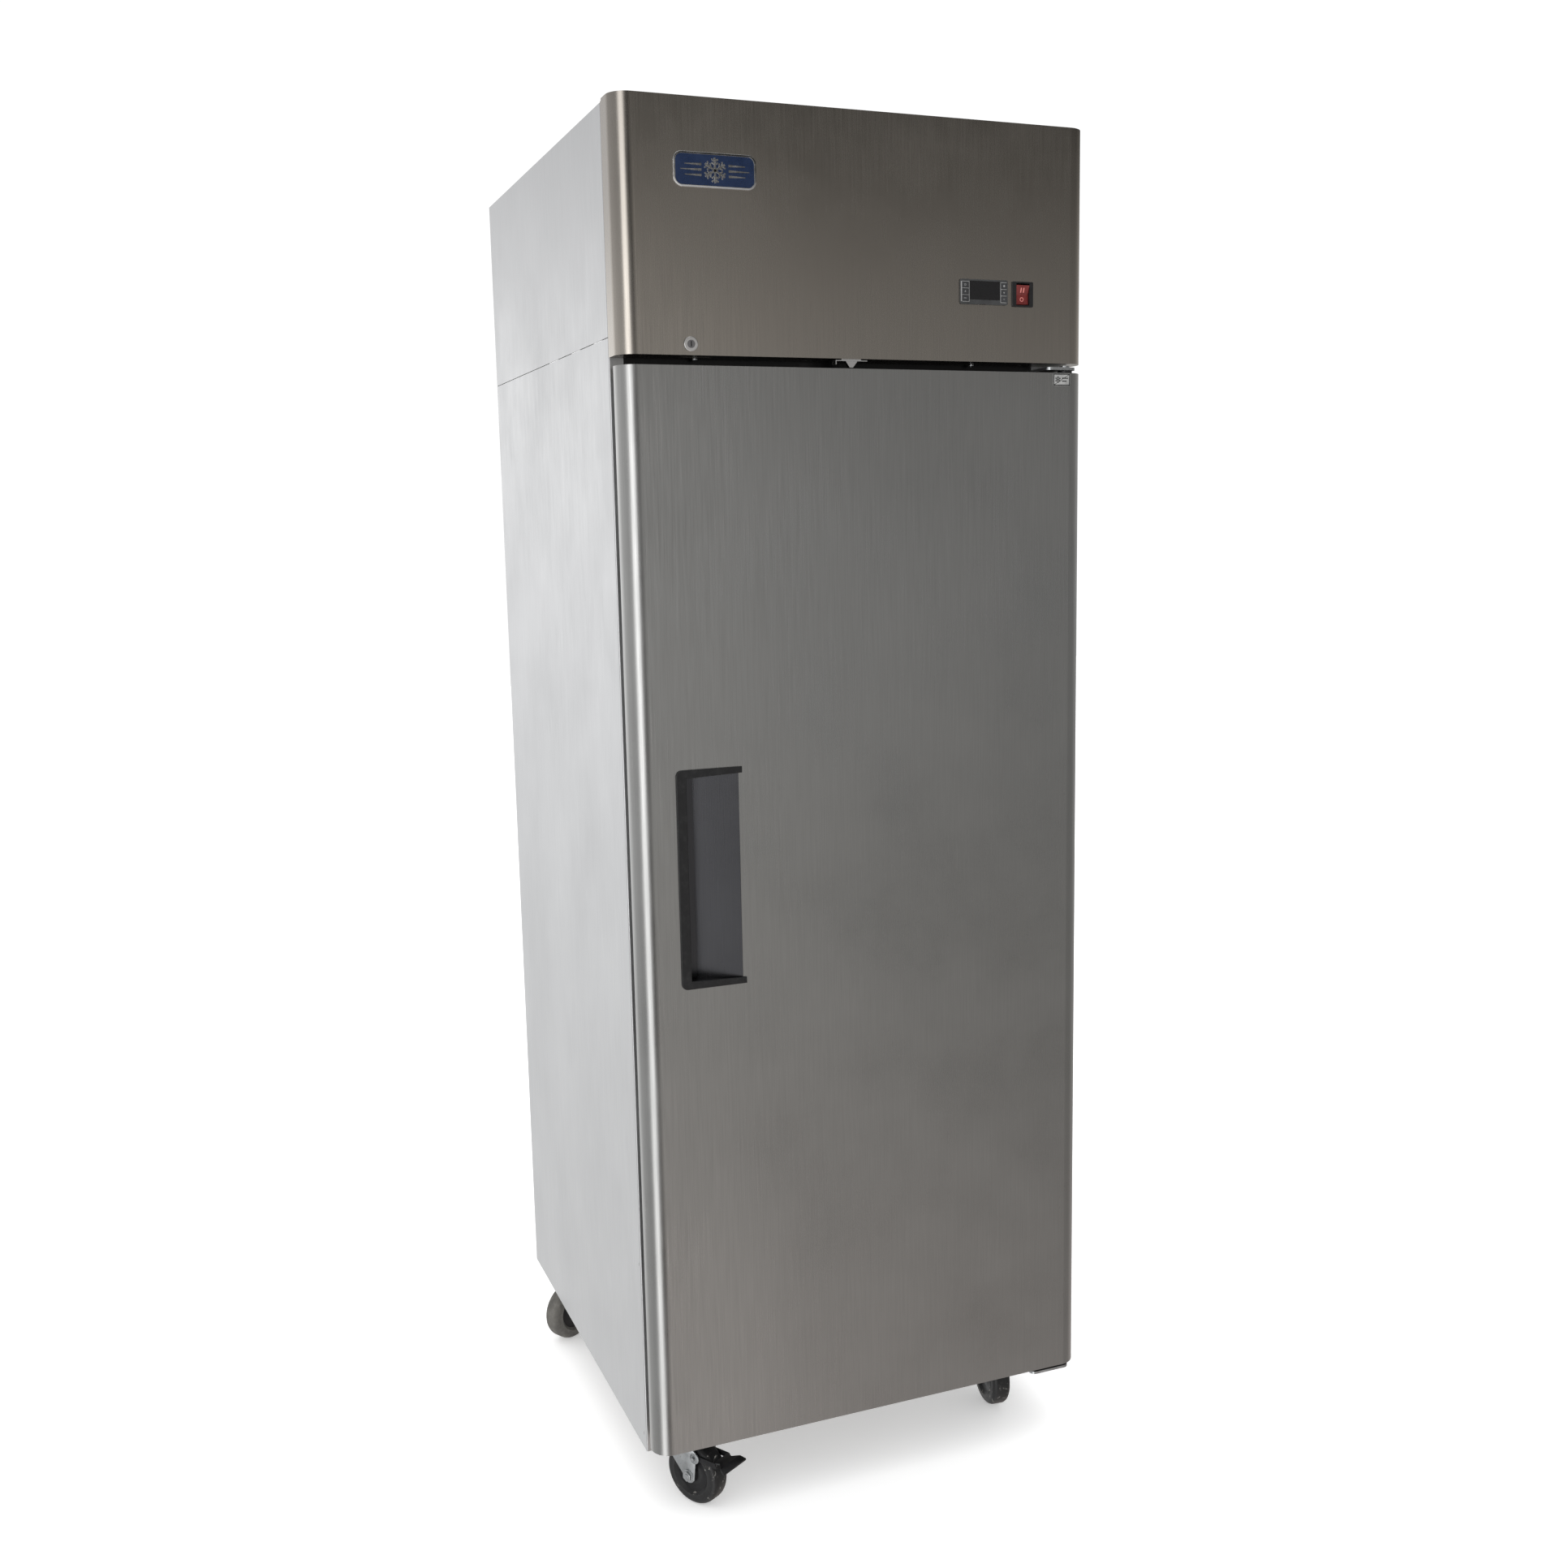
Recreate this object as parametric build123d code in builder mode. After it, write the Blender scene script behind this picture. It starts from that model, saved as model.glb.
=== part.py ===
from build123d import *

import os
from math import atan2, cos, radians, sin

# One-section reach-in cabinet with a solid right-hinged door, a top-mounted condensing unit
# behind a lift-up header panel, and four swivel casters. Millimetres, +Z up, front faces -Y,
# origin on the floor under the middle of the cabinet.

os.makedirs("parts", exist_ok=True)

# ---- Driving dimensions -------------------------------------------------------------------
HALF_WIDTH = 364.0  # overall width 728
FRONT_Y = -394.0  # outer face of the door and the header
JAMB_Y = -340.0  # front face of the cabinet, which the gasket seals on
BACK_Y = 394.0
HEIGHT = 2065.0
SHEET = 1.0  # stainless sheet
SKIRT_Z = 101.6  # lower edge of the side panels
BASE_Z = 127.0  # underside of the base pan, on the caster plates
SEAM_Z = 1754.0  # seam between the cabinet sides and the machine compartment sides
SEAM_HALF = 0.5  # half the gap at that seam
MACHINE_TOP_Z = 2061.0
BULLNOSE = 28.0  # rounded vertical front edges of the door and the header
BEND = 2.0  # small sheet bends

SIDE_RETURN = 21.0  # width of the folded front edge of a side panel
REAR_RETURN = 16.0
BASE_SHEET = 1.5
DECK_Z = SEAM_Z - 0.6  # top face of the cabinet deck
APRON_Z = 111.0  # lower edge of the base pan's front and rear aprons

CAVITY_HALF_WIDTH = 301.0
CAVITY_BACK_Y = 329.0
CAVITY_FLOOR_Z = 175.0
CAVITY_ROOF_Z = 1660.0

DOOR_BOTTOM_Z = 119.0
DOOR_TOP_Z = 1713.6
DOOR_BACK_Y = -358.0
DOOR_CAP = 2.0
HINGE_X = 336.0
HINGE_Y = -380.0
PIN_R = 5.0
RUNNING = 0.05  # radial clearance of a running fit

HEADER_BOTTOM_Z = 1727.0
HEADER_BACK_Y = JAMB_Y - 1.0
HEADER_HINGE_Y = -341.0
HEADER_HINGE_Z = 2062.5
HEADER_HINGE_XS = (-250.0, 250.0)
KNUCKLE_R = 2.5
HEADER_PIN_R = 1.5

LOCK_X = -262.5
LOCK_Z = 1741.7
CAM_REACH = 36.5
CAM_Y = -370.9  # middle of the cam's thickness
HEADER_SCREW_XS = (-243.0, 192.0)
HEADER_SCREW_Y = -352.0

LINES_X = -48.0  # middle of the hole that the refrigerant lines pass through
LINES_Y = 250.0
LINES_HOLE_R = 30.0

EVAP_FAN = (0.0, -108.0, 1585.0)
COND_FAN = (-150.0, -146.0, 1890.0)

SHELF_HEIGHTS = {"bottom": 420.0, "middle": 780.0, "top": 1140.0}
SHELF_HALF_WIDTH = 288.0
SHELF_FRONT_Y = -290.0
SHELF_BACK_Y = 300.0
SHELF_ROD_R = 3.0
PILASTER_YS = (-240.0, 250.0)
PILASTER_DEPTH = 6.0

WHEEL_R = 50.0
WHEEL_HALF = 16.0
TRAIL = 38.0  # swivel axis to axle
AXLE_R = 5.0
# name: (swivel x, swivel y, direction that the wheel trails in, degrees from +X)
CASTERS = {
    "front_left": (-302.0, -302.0, -59.0),
    "front_right": (272.0, -298.0, 84.0),
    "rear_left": (-300.0, 281.0, 209.0),
    "rear_right": (272.0, 281.0, 120.0),
}
BRAKED = ("front_left", "front_right")
PEDAL_PIVOT = (50.0, 82.0)  # along the trail, height


# ---- Helpers ------------------------------------------------------------------------------
def block(x0, x1, y0, y1, z0, z1, mode=Mode.ADD):
    """A rectangular block between two corners."""
    with Locations(((x0 + x1) / 2, (y0 + y1) / 2, (z0 + z1) / 2)):
        Box(x1 - x0, y1 - y0, z1 - z0, mode=mode)


def rod(x, y, z, radius, length, axis="Y", mode=Mode.ADD):
    """A round rod whose middle is at x, y, z."""
    turn = {"X": (0, 90, 0), "Y": (90, 0, 0), "Z": (0, 0, 0)}[axis]
    with Locations(Location((x, y, z), turn)):
        Cylinder(radius, length, mode=mode)


def vertex_near(sketch, x, y):
    return sketch.vertices().sort_by_distance((x, y))[0]


def bullnosed(half_width, front, back, radius, back_radius=0.0):
    """Plan of a panel with rounded front edges, added to the sketch being built."""
    with BuildSketch() as plan:
        Polygon(
            (-half_width, back),
            (-half_width, front),
            (half_width, front),
            (half_width, back),
        )
        for side in (-1, 1):
            fillet(vertex_near(plan, side * half_width, front), radius)
            if back_radius:
                fillet(vertex_near(plan, side * half_width, back), back_radius)
    add(plan.sketch)


def side_plan(side):
    """Plan of a side sheet folded inwards at its front and rear; side is -1 left, 1 right."""
    outer = side * HALF_WIDTH
    inner = side * (HALF_WIDTH - SHEET)
    front_edge = side * (HALF_WIDTH - SIDE_RETURN)
    rear_edge = side * (HALF_WIDTH - REAR_RETURN)
    with BuildSketch() as plan:
        Polygon(
            (outer, JAMB_Y),
            (front_edge, JAMB_Y),
            (front_edge, JAMB_Y + SHEET),
            (inner, JAMB_Y + SHEET),
            (inner, BACK_Y - SHEET),
            (rear_edge, BACK_Y - SHEET),
            (rear_edge, BACK_Y),
            (outer, BACK_Y),
        )
        fillet(vertex_near(plan, outer, JAMB_Y), BEND)
        fillet(vertex_near(plan, outer, BACK_Y), BEND)
    add(plan.sketch)


BLADE_SINK = 3.0  # how far a blade's root is let into the hub
BLADE_THICK = 1.6
ROOT_CHORD = 0.9  # chord as a share of the hub's depth
TIP_CHORD = 1.9
ROOT_PITCH = 50.0  # degrees
TIP_PITCH = 62.0


def fan_wheel(centre, hub_r, tip_r, depth, blades):
    """Axial fan on a line along Y: hub and pitched, widening blades."""
    x, y, z = centre
    rod(x, y, z, hub_r, depth)
    for k in range(blades):
        angle = radians(360 * k / blades)
        out = Vector(cos(angle), 0, sin(angle))
        across = Vector(-sin(angle), 0, cos(angle))
        sections = []
        root = (hub_r - BLADE_SINK, ROOT_CHORD * depth, ROOT_PITCH)
        tip = (tip_r, TIP_CHORD * depth, TIP_PITCH)
        for reach, chord, pitch in (root, tip):
            lean = across * sin(radians(pitch)) + Vector(0, cos(radians(pitch)), 0)
            middle = Vector(x, y, z) + out * reach
            with BuildSketch(Plane(middle, x_dir=lean, z_dir=out)) as section:
                Rectangle(chord, BLADE_THICK)
            sections.append(section.sketch.faces()[0])
        loft(sections=sections)


FIN_HALF = 0.5


def fin_pack(x0, x1, y0, y1, z0, z1, fins, rows, tube_r, overhang):
    """Fin-and-tube coil with its tubes along X."""
    pitch = (x1 - x0) / (fins - 1)
    for k in range(fins):
        x = x0 + k * pitch
        block(x - FIN_HALF, x + FIN_HALF, y0, y1, z0, z1)
    for row in range(rows):
        z = z0 + (row + 0.5) * (z1 - z0) / rows
        for y in (y0 + (y1 - y0) / 4, y1 - (y1 - y0) / 4):
            rod((x0 + x1) / 2, y, z, tube_r, x1 - x0 + 2 * overhang, "X")


# ---- Screws: (x, y, z, axis, sign of the way the head faces) --------------------------------
SCREW_R = 2.0
SCREW_HEAD_R = 4.0
SCREW_HEAD = 2.5
SCREW_LENGTH = 9.0
HEADER_SCREW_GAP = 0.6
DRILL_SPARE = 0.02  # so that a hole ends just past its screw
BRACKET_LEG = 3.0
SEAM_MARGIN = 4.0  # from the top of a leg on the jamb to the seam
bracket_face_y = JAMB_Y - BRACKET_LEG
bracket_screws = [(x, bracket_face_y, 1738.0, "Y", -1) for x in (312.0, 338.0)]
bracket_screws += [(x, bracket_face_y, 120.0, "Y", -1) for x in (290.0, 306.0)]
rear_screws = [
    (side * (HALF_WIDTH - 8.0), BACK_Y, z, "Y", 1)
    for side in (-1, 1)
    for z in (160.0, 560.0, 960.0, 1360.0, 1730.0, 1790.0, 2030.0)
]


def drill(screws):
    """Holes for the shanks of horizontal screws."""
    for x, y, z, axis, facing in screws:
        middle_y = y - facing * SCREW_LENGTH / 2
        rod(x, middle_y, z, SCREW_R, SCREW_LENGTH + DRILL_SPARE, axis, Mode.SUBTRACT)


# ==== Cabinet ==============================================================================
with BuildPart() as side_panel_left:
    with BuildSketch(Plane.XY.offset(SKIRT_Z)):
        side_plan(-1)
    extrude(amount=SEAM_Z - SEAM_HALF - SKIRT_Z)
    drill(rear_screws[:5])
side_panel_left.part.label = "side_panel_left"
export_step(side_panel_left.part, "parts/side_panel_left.step")

with BuildPart() as side_panel_right:
    with BuildSketch(Plane.XY.offset(SKIRT_Z)):
        side_plan(1)
    extrude(amount=SEAM_Z - SEAM_HALF - SKIRT_Z)
    drill(rear_screws[7:12])
side_panel_right.part.label = "side_panel_right"
export_step(side_panel_right.part, "parts/side_panel_right.step")

inside = HALF_WIDTH - SHEET  # half width between the side sheets
panel_back_y = BACK_Y - SHEET  # rear face of the back panel, against the side returns

with BuildPart() as back_panel:
    block(-inside, inside, panel_back_y - SHEET, panel_back_y, BASE_Z + BASE_SHEET, DECK_Z)
    drill(rear_screws)
back_panel.part.label = "back_panel"
export_step(back_panel.part, "parts/back_panel.step")

frame_half = HALF_WIDTH - SIDE_RETURN
with BuildPart() as base_pan:
    block(-inside, inside, JAMB_Y + SHEET, panel_back_y, BASE_Z, BASE_Z + BASE_SHEET)
    block(-frame_half, frame_half, JAMB_Y, JAMB_Y + BASE_SHEET, APRON_Z, BASE_Z + BASE_SHEET)
    block(-frame_half, frame_half, panel_back_y - BASE_SHEET, panel_back_y, APRON_Z, BASE_Z)
    drill(bracket_screws)
base_pan.part.label = "base_pan"
export_step(base_pan.part, "parts/base_pan.step")

foam_front_y = JAMB_Y + SHEET
foam_back_y = panel_back_y - SHEET
with BuildPart() as top_deck:
    block(-inside, inside, foam_front_y, foam_back_y, DECK_Z - SHEET, DECK_Z)
    rod(LINES_X, LINES_Y, DECK_Z, LINES_HOLE_R, 4 * SHEET, "Z", Mode.SUBTRACT)
top_deck.part.label = "top_deck"
export_step(top_deck.part, "parts/top_deck.step")

liner_half = CAVITY_HALF_WIDTH + SHEET
liner_back = CAVITY_BACK_Y + SHEET
liner_floor = CAVITY_FLOOR_Z - SHEET
liner_roof = CAVITY_ROOF_Z + SHEET
with BuildPart() as cabinet_insulation:
    block(-inside, inside, foam_front_y, foam_back_y, BASE_Z + BASE_SHEET, DECK_Z - SHEET)
    block(
        -liner_half,
        liner_half,
        foam_front_y,
        liner_back,
        liner_floor,
        liner_roof,
        Mode.SUBTRACT,
    )
    rod(LINES_X, LINES_Y, DECK_Z, LINES_HOLE_R, 3 * (DECK_Z - liner_roof), "Z", Mode.SUBTRACT)
    drill(rear_screws)
    drill(bracket_screws)
cabinet_insulation.part.label = "cabinet_insulation"
export_step(cabinet_insulation.part, "parts/cabinet_insulation.step")

with BuildPart() as inner_liner:
    block(-liner_half, liner_half, foam_front_y, liner_back, liner_floor, liner_roof)
    block(
        -CAVITY_HALF_WIDTH,
        CAVITY_HALF_WIDTH,
        foam_front_y,
        CAVITY_BACK_Y,
        CAVITY_FLOOR_Z,
        CAVITY_ROOF_Z,
        Mode.SUBTRACT,
    )
    rod(LINES_X, LINES_Y, CAVITY_ROOF_Z, LINES_HOLE_R, 4 * SHEET, "Z", Mode.SUBTRACT)
inner_liner.part.label = "inner_liner"
export_step(inner_liner.part, "parts/inner_liner.step")

# Face frame: the flat border round the opening, which the gasket seals on.
with BuildPart() as face_frame:
    block(-frame_half, frame_half, JAMB_Y, JAMB_Y + SHEET, BASE_Z + BASE_SHEET, DECK_Z)
    block(
        -CAVITY_HALF_WIDTH,
        CAVITY_HALF_WIDTH,
        JAMB_Y,
        JAMB_Y + SHEET,
        CAVITY_FLOOR_Z,
        CAVITY_ROOF_Z,
        Mode.SUBTRACT,
    )
    drill(bracket_screws)
face_frame.part.label = "face_frame"
export_step(face_frame.part, "parts/face_frame.step")

# ==== Shelves and their supports ===========================================================
PILASTER_HALF = 10.0
SLOT_PITCH = 40.0
SLOT_WIDTH = 8.0
SLOT_HEIGHT = 12.0
SLOT_DEPTH = 2.0
CLIP_REACH = 12.0
CLIP_HEIGHT = 9.0
CLIP_HALF = 7.0
REST_GAP = 0.3  # between the shelf's round rods and the clips
pilaster_bottom = CAVITY_FLOOR_Z + 25.0
pilaster_top = 1480.0
with BuildPart() as shelf_supports:
    for side in (-1, 1):
        wall = side * CAVITY_HALF_WIDTH
        face = side * (CAVITY_HALF_WIDTH - PILASTER_DEPTH)
        for y in PILASTER_YS:
            low, high = sorted((wall, face))
            block(low, high, y - PILASTER_HALF, y + PILASTER_HALF, pilaster_bottom, pilaster_top)
            slots = int((pilaster_top - pilaster_bottom) / SLOT_PITCH) - 1
            middle_z = (pilaster_bottom + pilaster_top) / 2
            slot_middle = Plane((face, y, middle_z), x_dir=(0, 1, 0), z_dir=(1, 0, 0))
            with BuildSketch(slot_middle):
                with GridLocations(1, SLOT_PITCH, 1, slots):
                    Rectangle(SLOT_WIDTH, SLOT_HEIGHT)
            extrude(amount=SLOT_DEPTH, both=True, mode=Mode.SUBTRACT)
    for side in (-1, 1):
        face = side * (CAVITY_HALF_WIDTH - PILASTER_DEPTH)
        tip = side * (CAVITY_HALF_WIDTH - PILASTER_DEPTH - CLIP_REACH)
        low, high = sorted((face, tip))
        for y in PILASTER_YS:
            for shelf_z in SHELF_HEIGHTS.values():
                top = shelf_z - SHELF_ROD_R - REST_GAP
                block(low, high, y - CLIP_HALF, y + CLIP_HALF, top - CLIP_HEIGHT, top)
shelf_supports.part.label = "shelf_supports"
export_step(shelf_supports.part, "parts/shelf_supports.step")

WIRE_R = 1.9
WIRES = 20
SHELF_CORNER_R = 14.0
BEARER_R = 2.5
BEARER_DROP = 3.2  # how far the two bearers lie under the wires
BEARER_OFFSET = 150.0
for name, shelf_z in SHELF_HEIGHTS.items():
    with BuildPart() as wire_shelf:
        with BuildLine(Plane.XY.offset(shelf_z)) as rim:
            FilletPolyline(
                (SHELF_HALF_WIDTH, SHELF_FRONT_Y),
                (SHELF_HALF_WIDTH, SHELF_BACK_Y),
                (-SHELF_HALF_WIDTH, SHELF_BACK_Y),
                (-SHELF_HALF_WIDTH, SHELF_FRONT_Y),
                radius=SHELF_CORNER_R,
                close=True,
            )
        with BuildSketch(Plane(origin=(0, SHELF_FRONT_Y, shelf_z), z_dir=(1, 0, 0))):
            Circle(SHELF_ROD_R)
        sweep()
        wire_pitch = 2 * SHELF_HALF_WIDTH / (WIRES + 1)
        middle_y = (SHELF_FRONT_Y + SHELF_BACK_Y) / 2
        for k in range(WIRES):
            x = (k + 1) * wire_pitch - SHELF_HALF_WIDTH
            rod(x, middle_y, shelf_z, WIRE_R, SHELF_BACK_Y - SHELF_FRONT_Y)
        for y in (middle_y - BEARER_OFFSET, middle_y + BEARER_OFFSET):
            rod(0, y, shelf_z - BEARER_DROP, BEARER_R, 2 * SHELF_HALF_WIDTH - 8.0, "X")
    wire_shelf.part.label = f"wire_shelf_{name}"
    export_step(wire_shelf.part, f"parts/wire_shelf_{name}.step")

# ==== Evaporator ===========================================================================
EVAP_HALF = 270.0
EVAP_FRONT_Y = -130.0
EVAP_BOTTOM_Z = 1512.0
EVAP_SHEET = 1.2
EVAP_BLADE_R = 60.0
GUARD_RINGS = (66.0, 50.0, 34.0, 18.0)
with BuildPart() as evaporator_cover:
    block(-EVAP_HALF, EVAP_HALF, EVAP_FRONT_Y, CAVITY_BACK_Y, EVAP_BOTTOM_Z, CAVITY_ROOF_Z)
    block(
        -EVAP_HALF + EVAP_SHEET,
        EVAP_HALF - EVAP_SHEET,
        EVAP_FRONT_Y + EVAP_SHEET,
        CAVITY_BACK_Y,
        EVAP_BOTTOM_Z + EVAP_SHEET,
        CAVITY_ROOF_Z,
        Mode.SUBTRACT,
    )
    rod(EVAP_FAN[0], EVAP_FRONT_Y, EVAP_FAN[2], GUARD_RINGS[0], 6.0, "Y", Mode.SUBTRACT)
    with BuildSketch(Plane.XZ.offset(-EVAP_FRONT_Y)):
        with Locations((EVAP_FAN[0], EVAP_FAN[2])):
            for ring_r in GUARD_RINGS:
                Circle(ring_r + 2.0)
                Circle(ring_r, mode=Mode.SUBTRACT)
            Rectangle(2 * GUARD_RINGS[0] + 2.0, 3.0)
            Rectangle(3.0, 2 * GUARD_RINGS[0] + 2.0)
    extrude(amount=1.5)
    with BuildSketch(Plane.XY.offset(EVAP_BOTTOM_Z)):
        with Locations((0, CAVITY_BACK_Y - 45.0)):
            with GridLocations(36.0, 1, 12, 1):
                Rectangle(14.0, 60.0)
    extrude(amount=EVAP_SHEET, mode=Mode.SUBTRACT)
evaporator_cover.part.label = "evaporator_cover"
export_step(evaporator_cover.part, "parts/evaporator_cover.step")

EVAP_COIL_TOP = 1645.0
with BuildPart() as evaporator_coil:
    fin_pack(-225.0, 225.0, 60.0, 280.0, 1530.0, EVAP_COIL_TOP, 31, 3, 5.0, 12.0)
evaporator_coil.part.label = "evaporator_coil"
export_step(evaporator_coil.part, "parts/evaporator_coil.step")

FAN_DEPTH = 22.0
SHAFT_R = 3.0
with BuildPart() as evaporator_fan_blade:
    fan_wheel(EVAP_FAN, 17.0, EVAP_BLADE_R, FAN_DEPTH, 5)
    rod(*EVAP_FAN, SHAFT_R + RUNNING, 3 * FAN_DEPTH, "Y", Mode.SUBTRACT)
evaporator_fan_blade.part.label = "evaporator_fan_blade"
export_step(evaporator_fan_blade.part, "parts/evaporator_fan_blade.step")

COND_BLADE_R = 104.0
COND_HOLE_R = 110.0
with BuildPart() as condenser_fan_blade:
    fan_wheel(COND_FAN, 24.0, COND_BLADE_R, FAN_DEPTH, 5)
    rod(*COND_FAN, SHAFT_R + RUNNING, 3 * FAN_DEPTH, "Y", Mode.SUBTRACT)
condenser_fan_blade.part.label = "condenser_fan_blade"
export_step(condenser_fan_blade.part, "parts/condenser_fan_blade.step")

# ==== Condensing unit ======================================================================
COIL_X0 = -290.0
COIL_X1 = -10.0
COIL_BOTTOM_Z = 1765.0
COIL_TOP_Z = 2015.0
SHROUD_BACK_Y = -146.0
SHROUD_SHEET = 1.5
TUBE_OVERHANG = 8.0
with BuildPart() as condenser_coil:
    fin_pack(COIL_X0, COIL_X1, -250.0, -190.0, COIL_BOTTOM_Z, COIL_TOP_Z, 29, 5, 5.0, TUBE_OVERHANG)
    block(COIL_X0, COIL_X1, -190.0, SHROUD_BACK_Y, COIL_BOTTOM_Z, COIL_TOP_Z)
    block(
        COIL_X0 + SHROUD_SHEET,
        COIL_X1 - SHROUD_SHEET,
        -190.0,
        SHROUD_BACK_Y - SHROUD_SHEET,
        COIL_BOTTOM_Z + SHROUD_SHEET,
        COIL_TOP_Z - SHROUD_SHEET,
        Mode.SUBTRACT,
    )
    rod(COND_FAN[0], SHROUD_BACK_Y, COND_FAN[2], COND_HOLE_R, 10.0, "Y", Mode.SUBTRACT)
    for x in (COIL_X0 + 12.0, COIL_X1 - 12.0):
        block(x - 12.0, x + 12.0, -240.0, SHROUD_BACK_Y, DECK_Z, COIL_BOTTOM_Z)
condenser_coil.part.label = "condenser_coil"
export_step(condenser_coil.part, "parts/condenser_coil.step")


MOTOR_GAP = 6.0  # between the fan's hub and its motor
STRAP = 3.0
STRAP_HALF = 8.0


def fan_motor(centre, motor_r, motor_length, wall_y, arm):
    """Motor behind a fan: body, shaft and a strap that reaches back to the wall at wall_y."""
    x, y, z = centre
    motor_y = y + FAN_DEPTH / 2 + MOTOR_GAP
    rod(x, motor_y + motor_length / 2, z, motor_r, motor_length)
    shaft_front = y - FAN_DEPTH / 2 - 2.0
    rod(x, (shaft_front + motor_y + 1.0) / 2, z, SHAFT_R, motor_y + 1.0 - shaft_front)
    strap_y = motor_y + 10.0
    low_z = z - STRAP_HALF
    high_z = z + STRAP_HALF
    block(x - arm, x + arm, strap_y, strap_y + STRAP, low_z, high_z)
    for end in (-1, 1):
        low, high = sorted((x + end * arm, x + end * (arm - STRAP)))
        block(low, high, wall_y, strap_y, low_z, high_z)


with BuildPart() as fan_motors:
    fan_motor(EVAP_FAN, 34.0, 40.0, EVAP_FRONT_Y + EVAP_SHEET, 78.0)
    fan_motor(COND_FAN, 40.0, 52.0, SHROUD_BACK_Y, 124.0)
fan_motors.part.label = "fan_motors"
export_step(fan_motors.part, "parts/fan_motors.step")

# Hermetic compressor: welded pot on a foot plate with four rubber grommets, terminal box.
COMP_X = 170.0
COMP_Y = 140.0
COMP_R = 92.0
COMP_Z0 = DECK_Z + 12.0
COMP_Z1 = COMP_Z0 + 215.0
FOOT_PLATE = 3.0
FOOT_HALF_X = 115.0
FOOT_HALF_Y = 80.0
FOOT_STUD_R = 4.0
GROMMET_R = 13.0
feet = [(COMP_X + x, COMP_Y + y) for x in (-98.0, 98.0) for y in (-62.0, 62.0)]
SEAM_WELD_Z = COMP_Z0 + 112.0  # the welded seam round the pot
SEAM_WELD = 6.0
SEAM_WELD_PROUD = 4.0
POT_EASE = 20.0
with BuildPart() as compressor:
    block(
        COMP_X - FOOT_HALF_X,
        COMP_X + FOOT_HALF_X,
        COMP_Y - FOOT_HALF_Y,
        COMP_Y + FOOT_HALF_Y,
        COMP_Z0,
        COMP_Z0 + FOOT_PLATE,
    )
    pot_plane = Plane(origin=(COMP_X, COMP_Y, 0), x_dir=(1, 0, 0), z_dir=(0, -1, 0))
    with BuildSketch(pot_plane) as pot:
        Polygon(
            (0, COMP_Z0 + 1.0),
            (COMP_R - 12.0, COMP_Z0 + 1.0),
            (COMP_R, COMP_Z0 + 20.0),
            (COMP_R, SEAM_WELD_Z),
            (COMP_R + SEAM_WELD_PROUD, SEAM_WELD_Z),
            (COMP_R + SEAM_WELD_PROUD, SEAM_WELD_Z + SEAM_WELD),
            (COMP_R, SEAM_WELD_Z + SEAM_WELD),
            (COMP_R, COMP_Z1 - 40.0),
            (COMP_R - 34.0, COMP_Z1),
            (0, COMP_Z1),
        )
        fillet(vertex_near(pot, COMP_R, COMP_Z1 - 40.0), POT_EASE)
        fillet(vertex_near(pot, COMP_R - 34.0, COMP_Z1), POT_EASE)
    revolve(axis=Axis((COMP_X, COMP_Y, 0), (0, 0, 1)))
    terminal_z = COMP_Z0 + 50.0
    block(
        COMP_X + 60.0,
        COMP_X + 122.0,
        COMP_Y - 30.0,
        COMP_Y + 30.0,
        terminal_z,
        terminal_z + 55.0,
    )
    for foot in feet:
        rod(*foot, COMP_Z0, FOOT_STUD_R, 40.0, "Z", Mode.SUBTRACT)
compressor_pot = compressor.part
with BuildPart() as compressor_unit:
    add(compressor_pot)
    for foot in feet:
        rod(*foot, (DECK_Z + COMP_Z0) / 2, GROMMET_R, COMP_Z0 - DECK_Z, "Z")
        rod(*foot, COMP_Z0 + FOOT_PLATE + 3.0, 8.0, 6.0, "Z")
compressor_unit.part.label = "compressor"
export_step(compressor_unit.part, "parts/compressor.step")

# Discharge, liquid (with its drier) and suction lines, each one solid.
line_y_front = -250.0 + 15.0
line_y_rear = -190.0 - 15.0
coil_row = (COIL_TOP_Z - COIL_BOTTOM_Z) / 5
top_row_z = COIL_TOP_Z - coil_row / 2
bottom_row_z = COIL_BOTTOM_Z + coil_row / 2
coil_end_x = COIL_X1 + TUBE_OVERHANG
stub_x = COMP_X - COMP_R
RISER_X = 36.0
DISCHARGE_Z = COMP_Z0 + 140.0
SUCTION_Z = COMP_Z0 + 75.0
SUCTION_Y = COMP_Y + 26.0
DISCHARGE_R = 4.0
LIQUID_R = 3.0
SUCTION_R = 6.0
LINES_APART = 12.0  # from the middle of the hole to each line
DRIER_R = 11.0
DRIER_Y = -60.0
DRIER_LENGTH = 90.0


def tube(points, radius, bend):
    """Round tube along straight runs joined by bends."""
    with BuildLine() as run:
        FilletPolyline(*points, radius=bend)
    path = run.wires()[0]
    with BuildSketch(Plane(origin=path @ 0, z_dir=path % 0)) as section:
        Circle(radius)
    sweep(sections=section.sketch.faces()[0], path=path)


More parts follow.
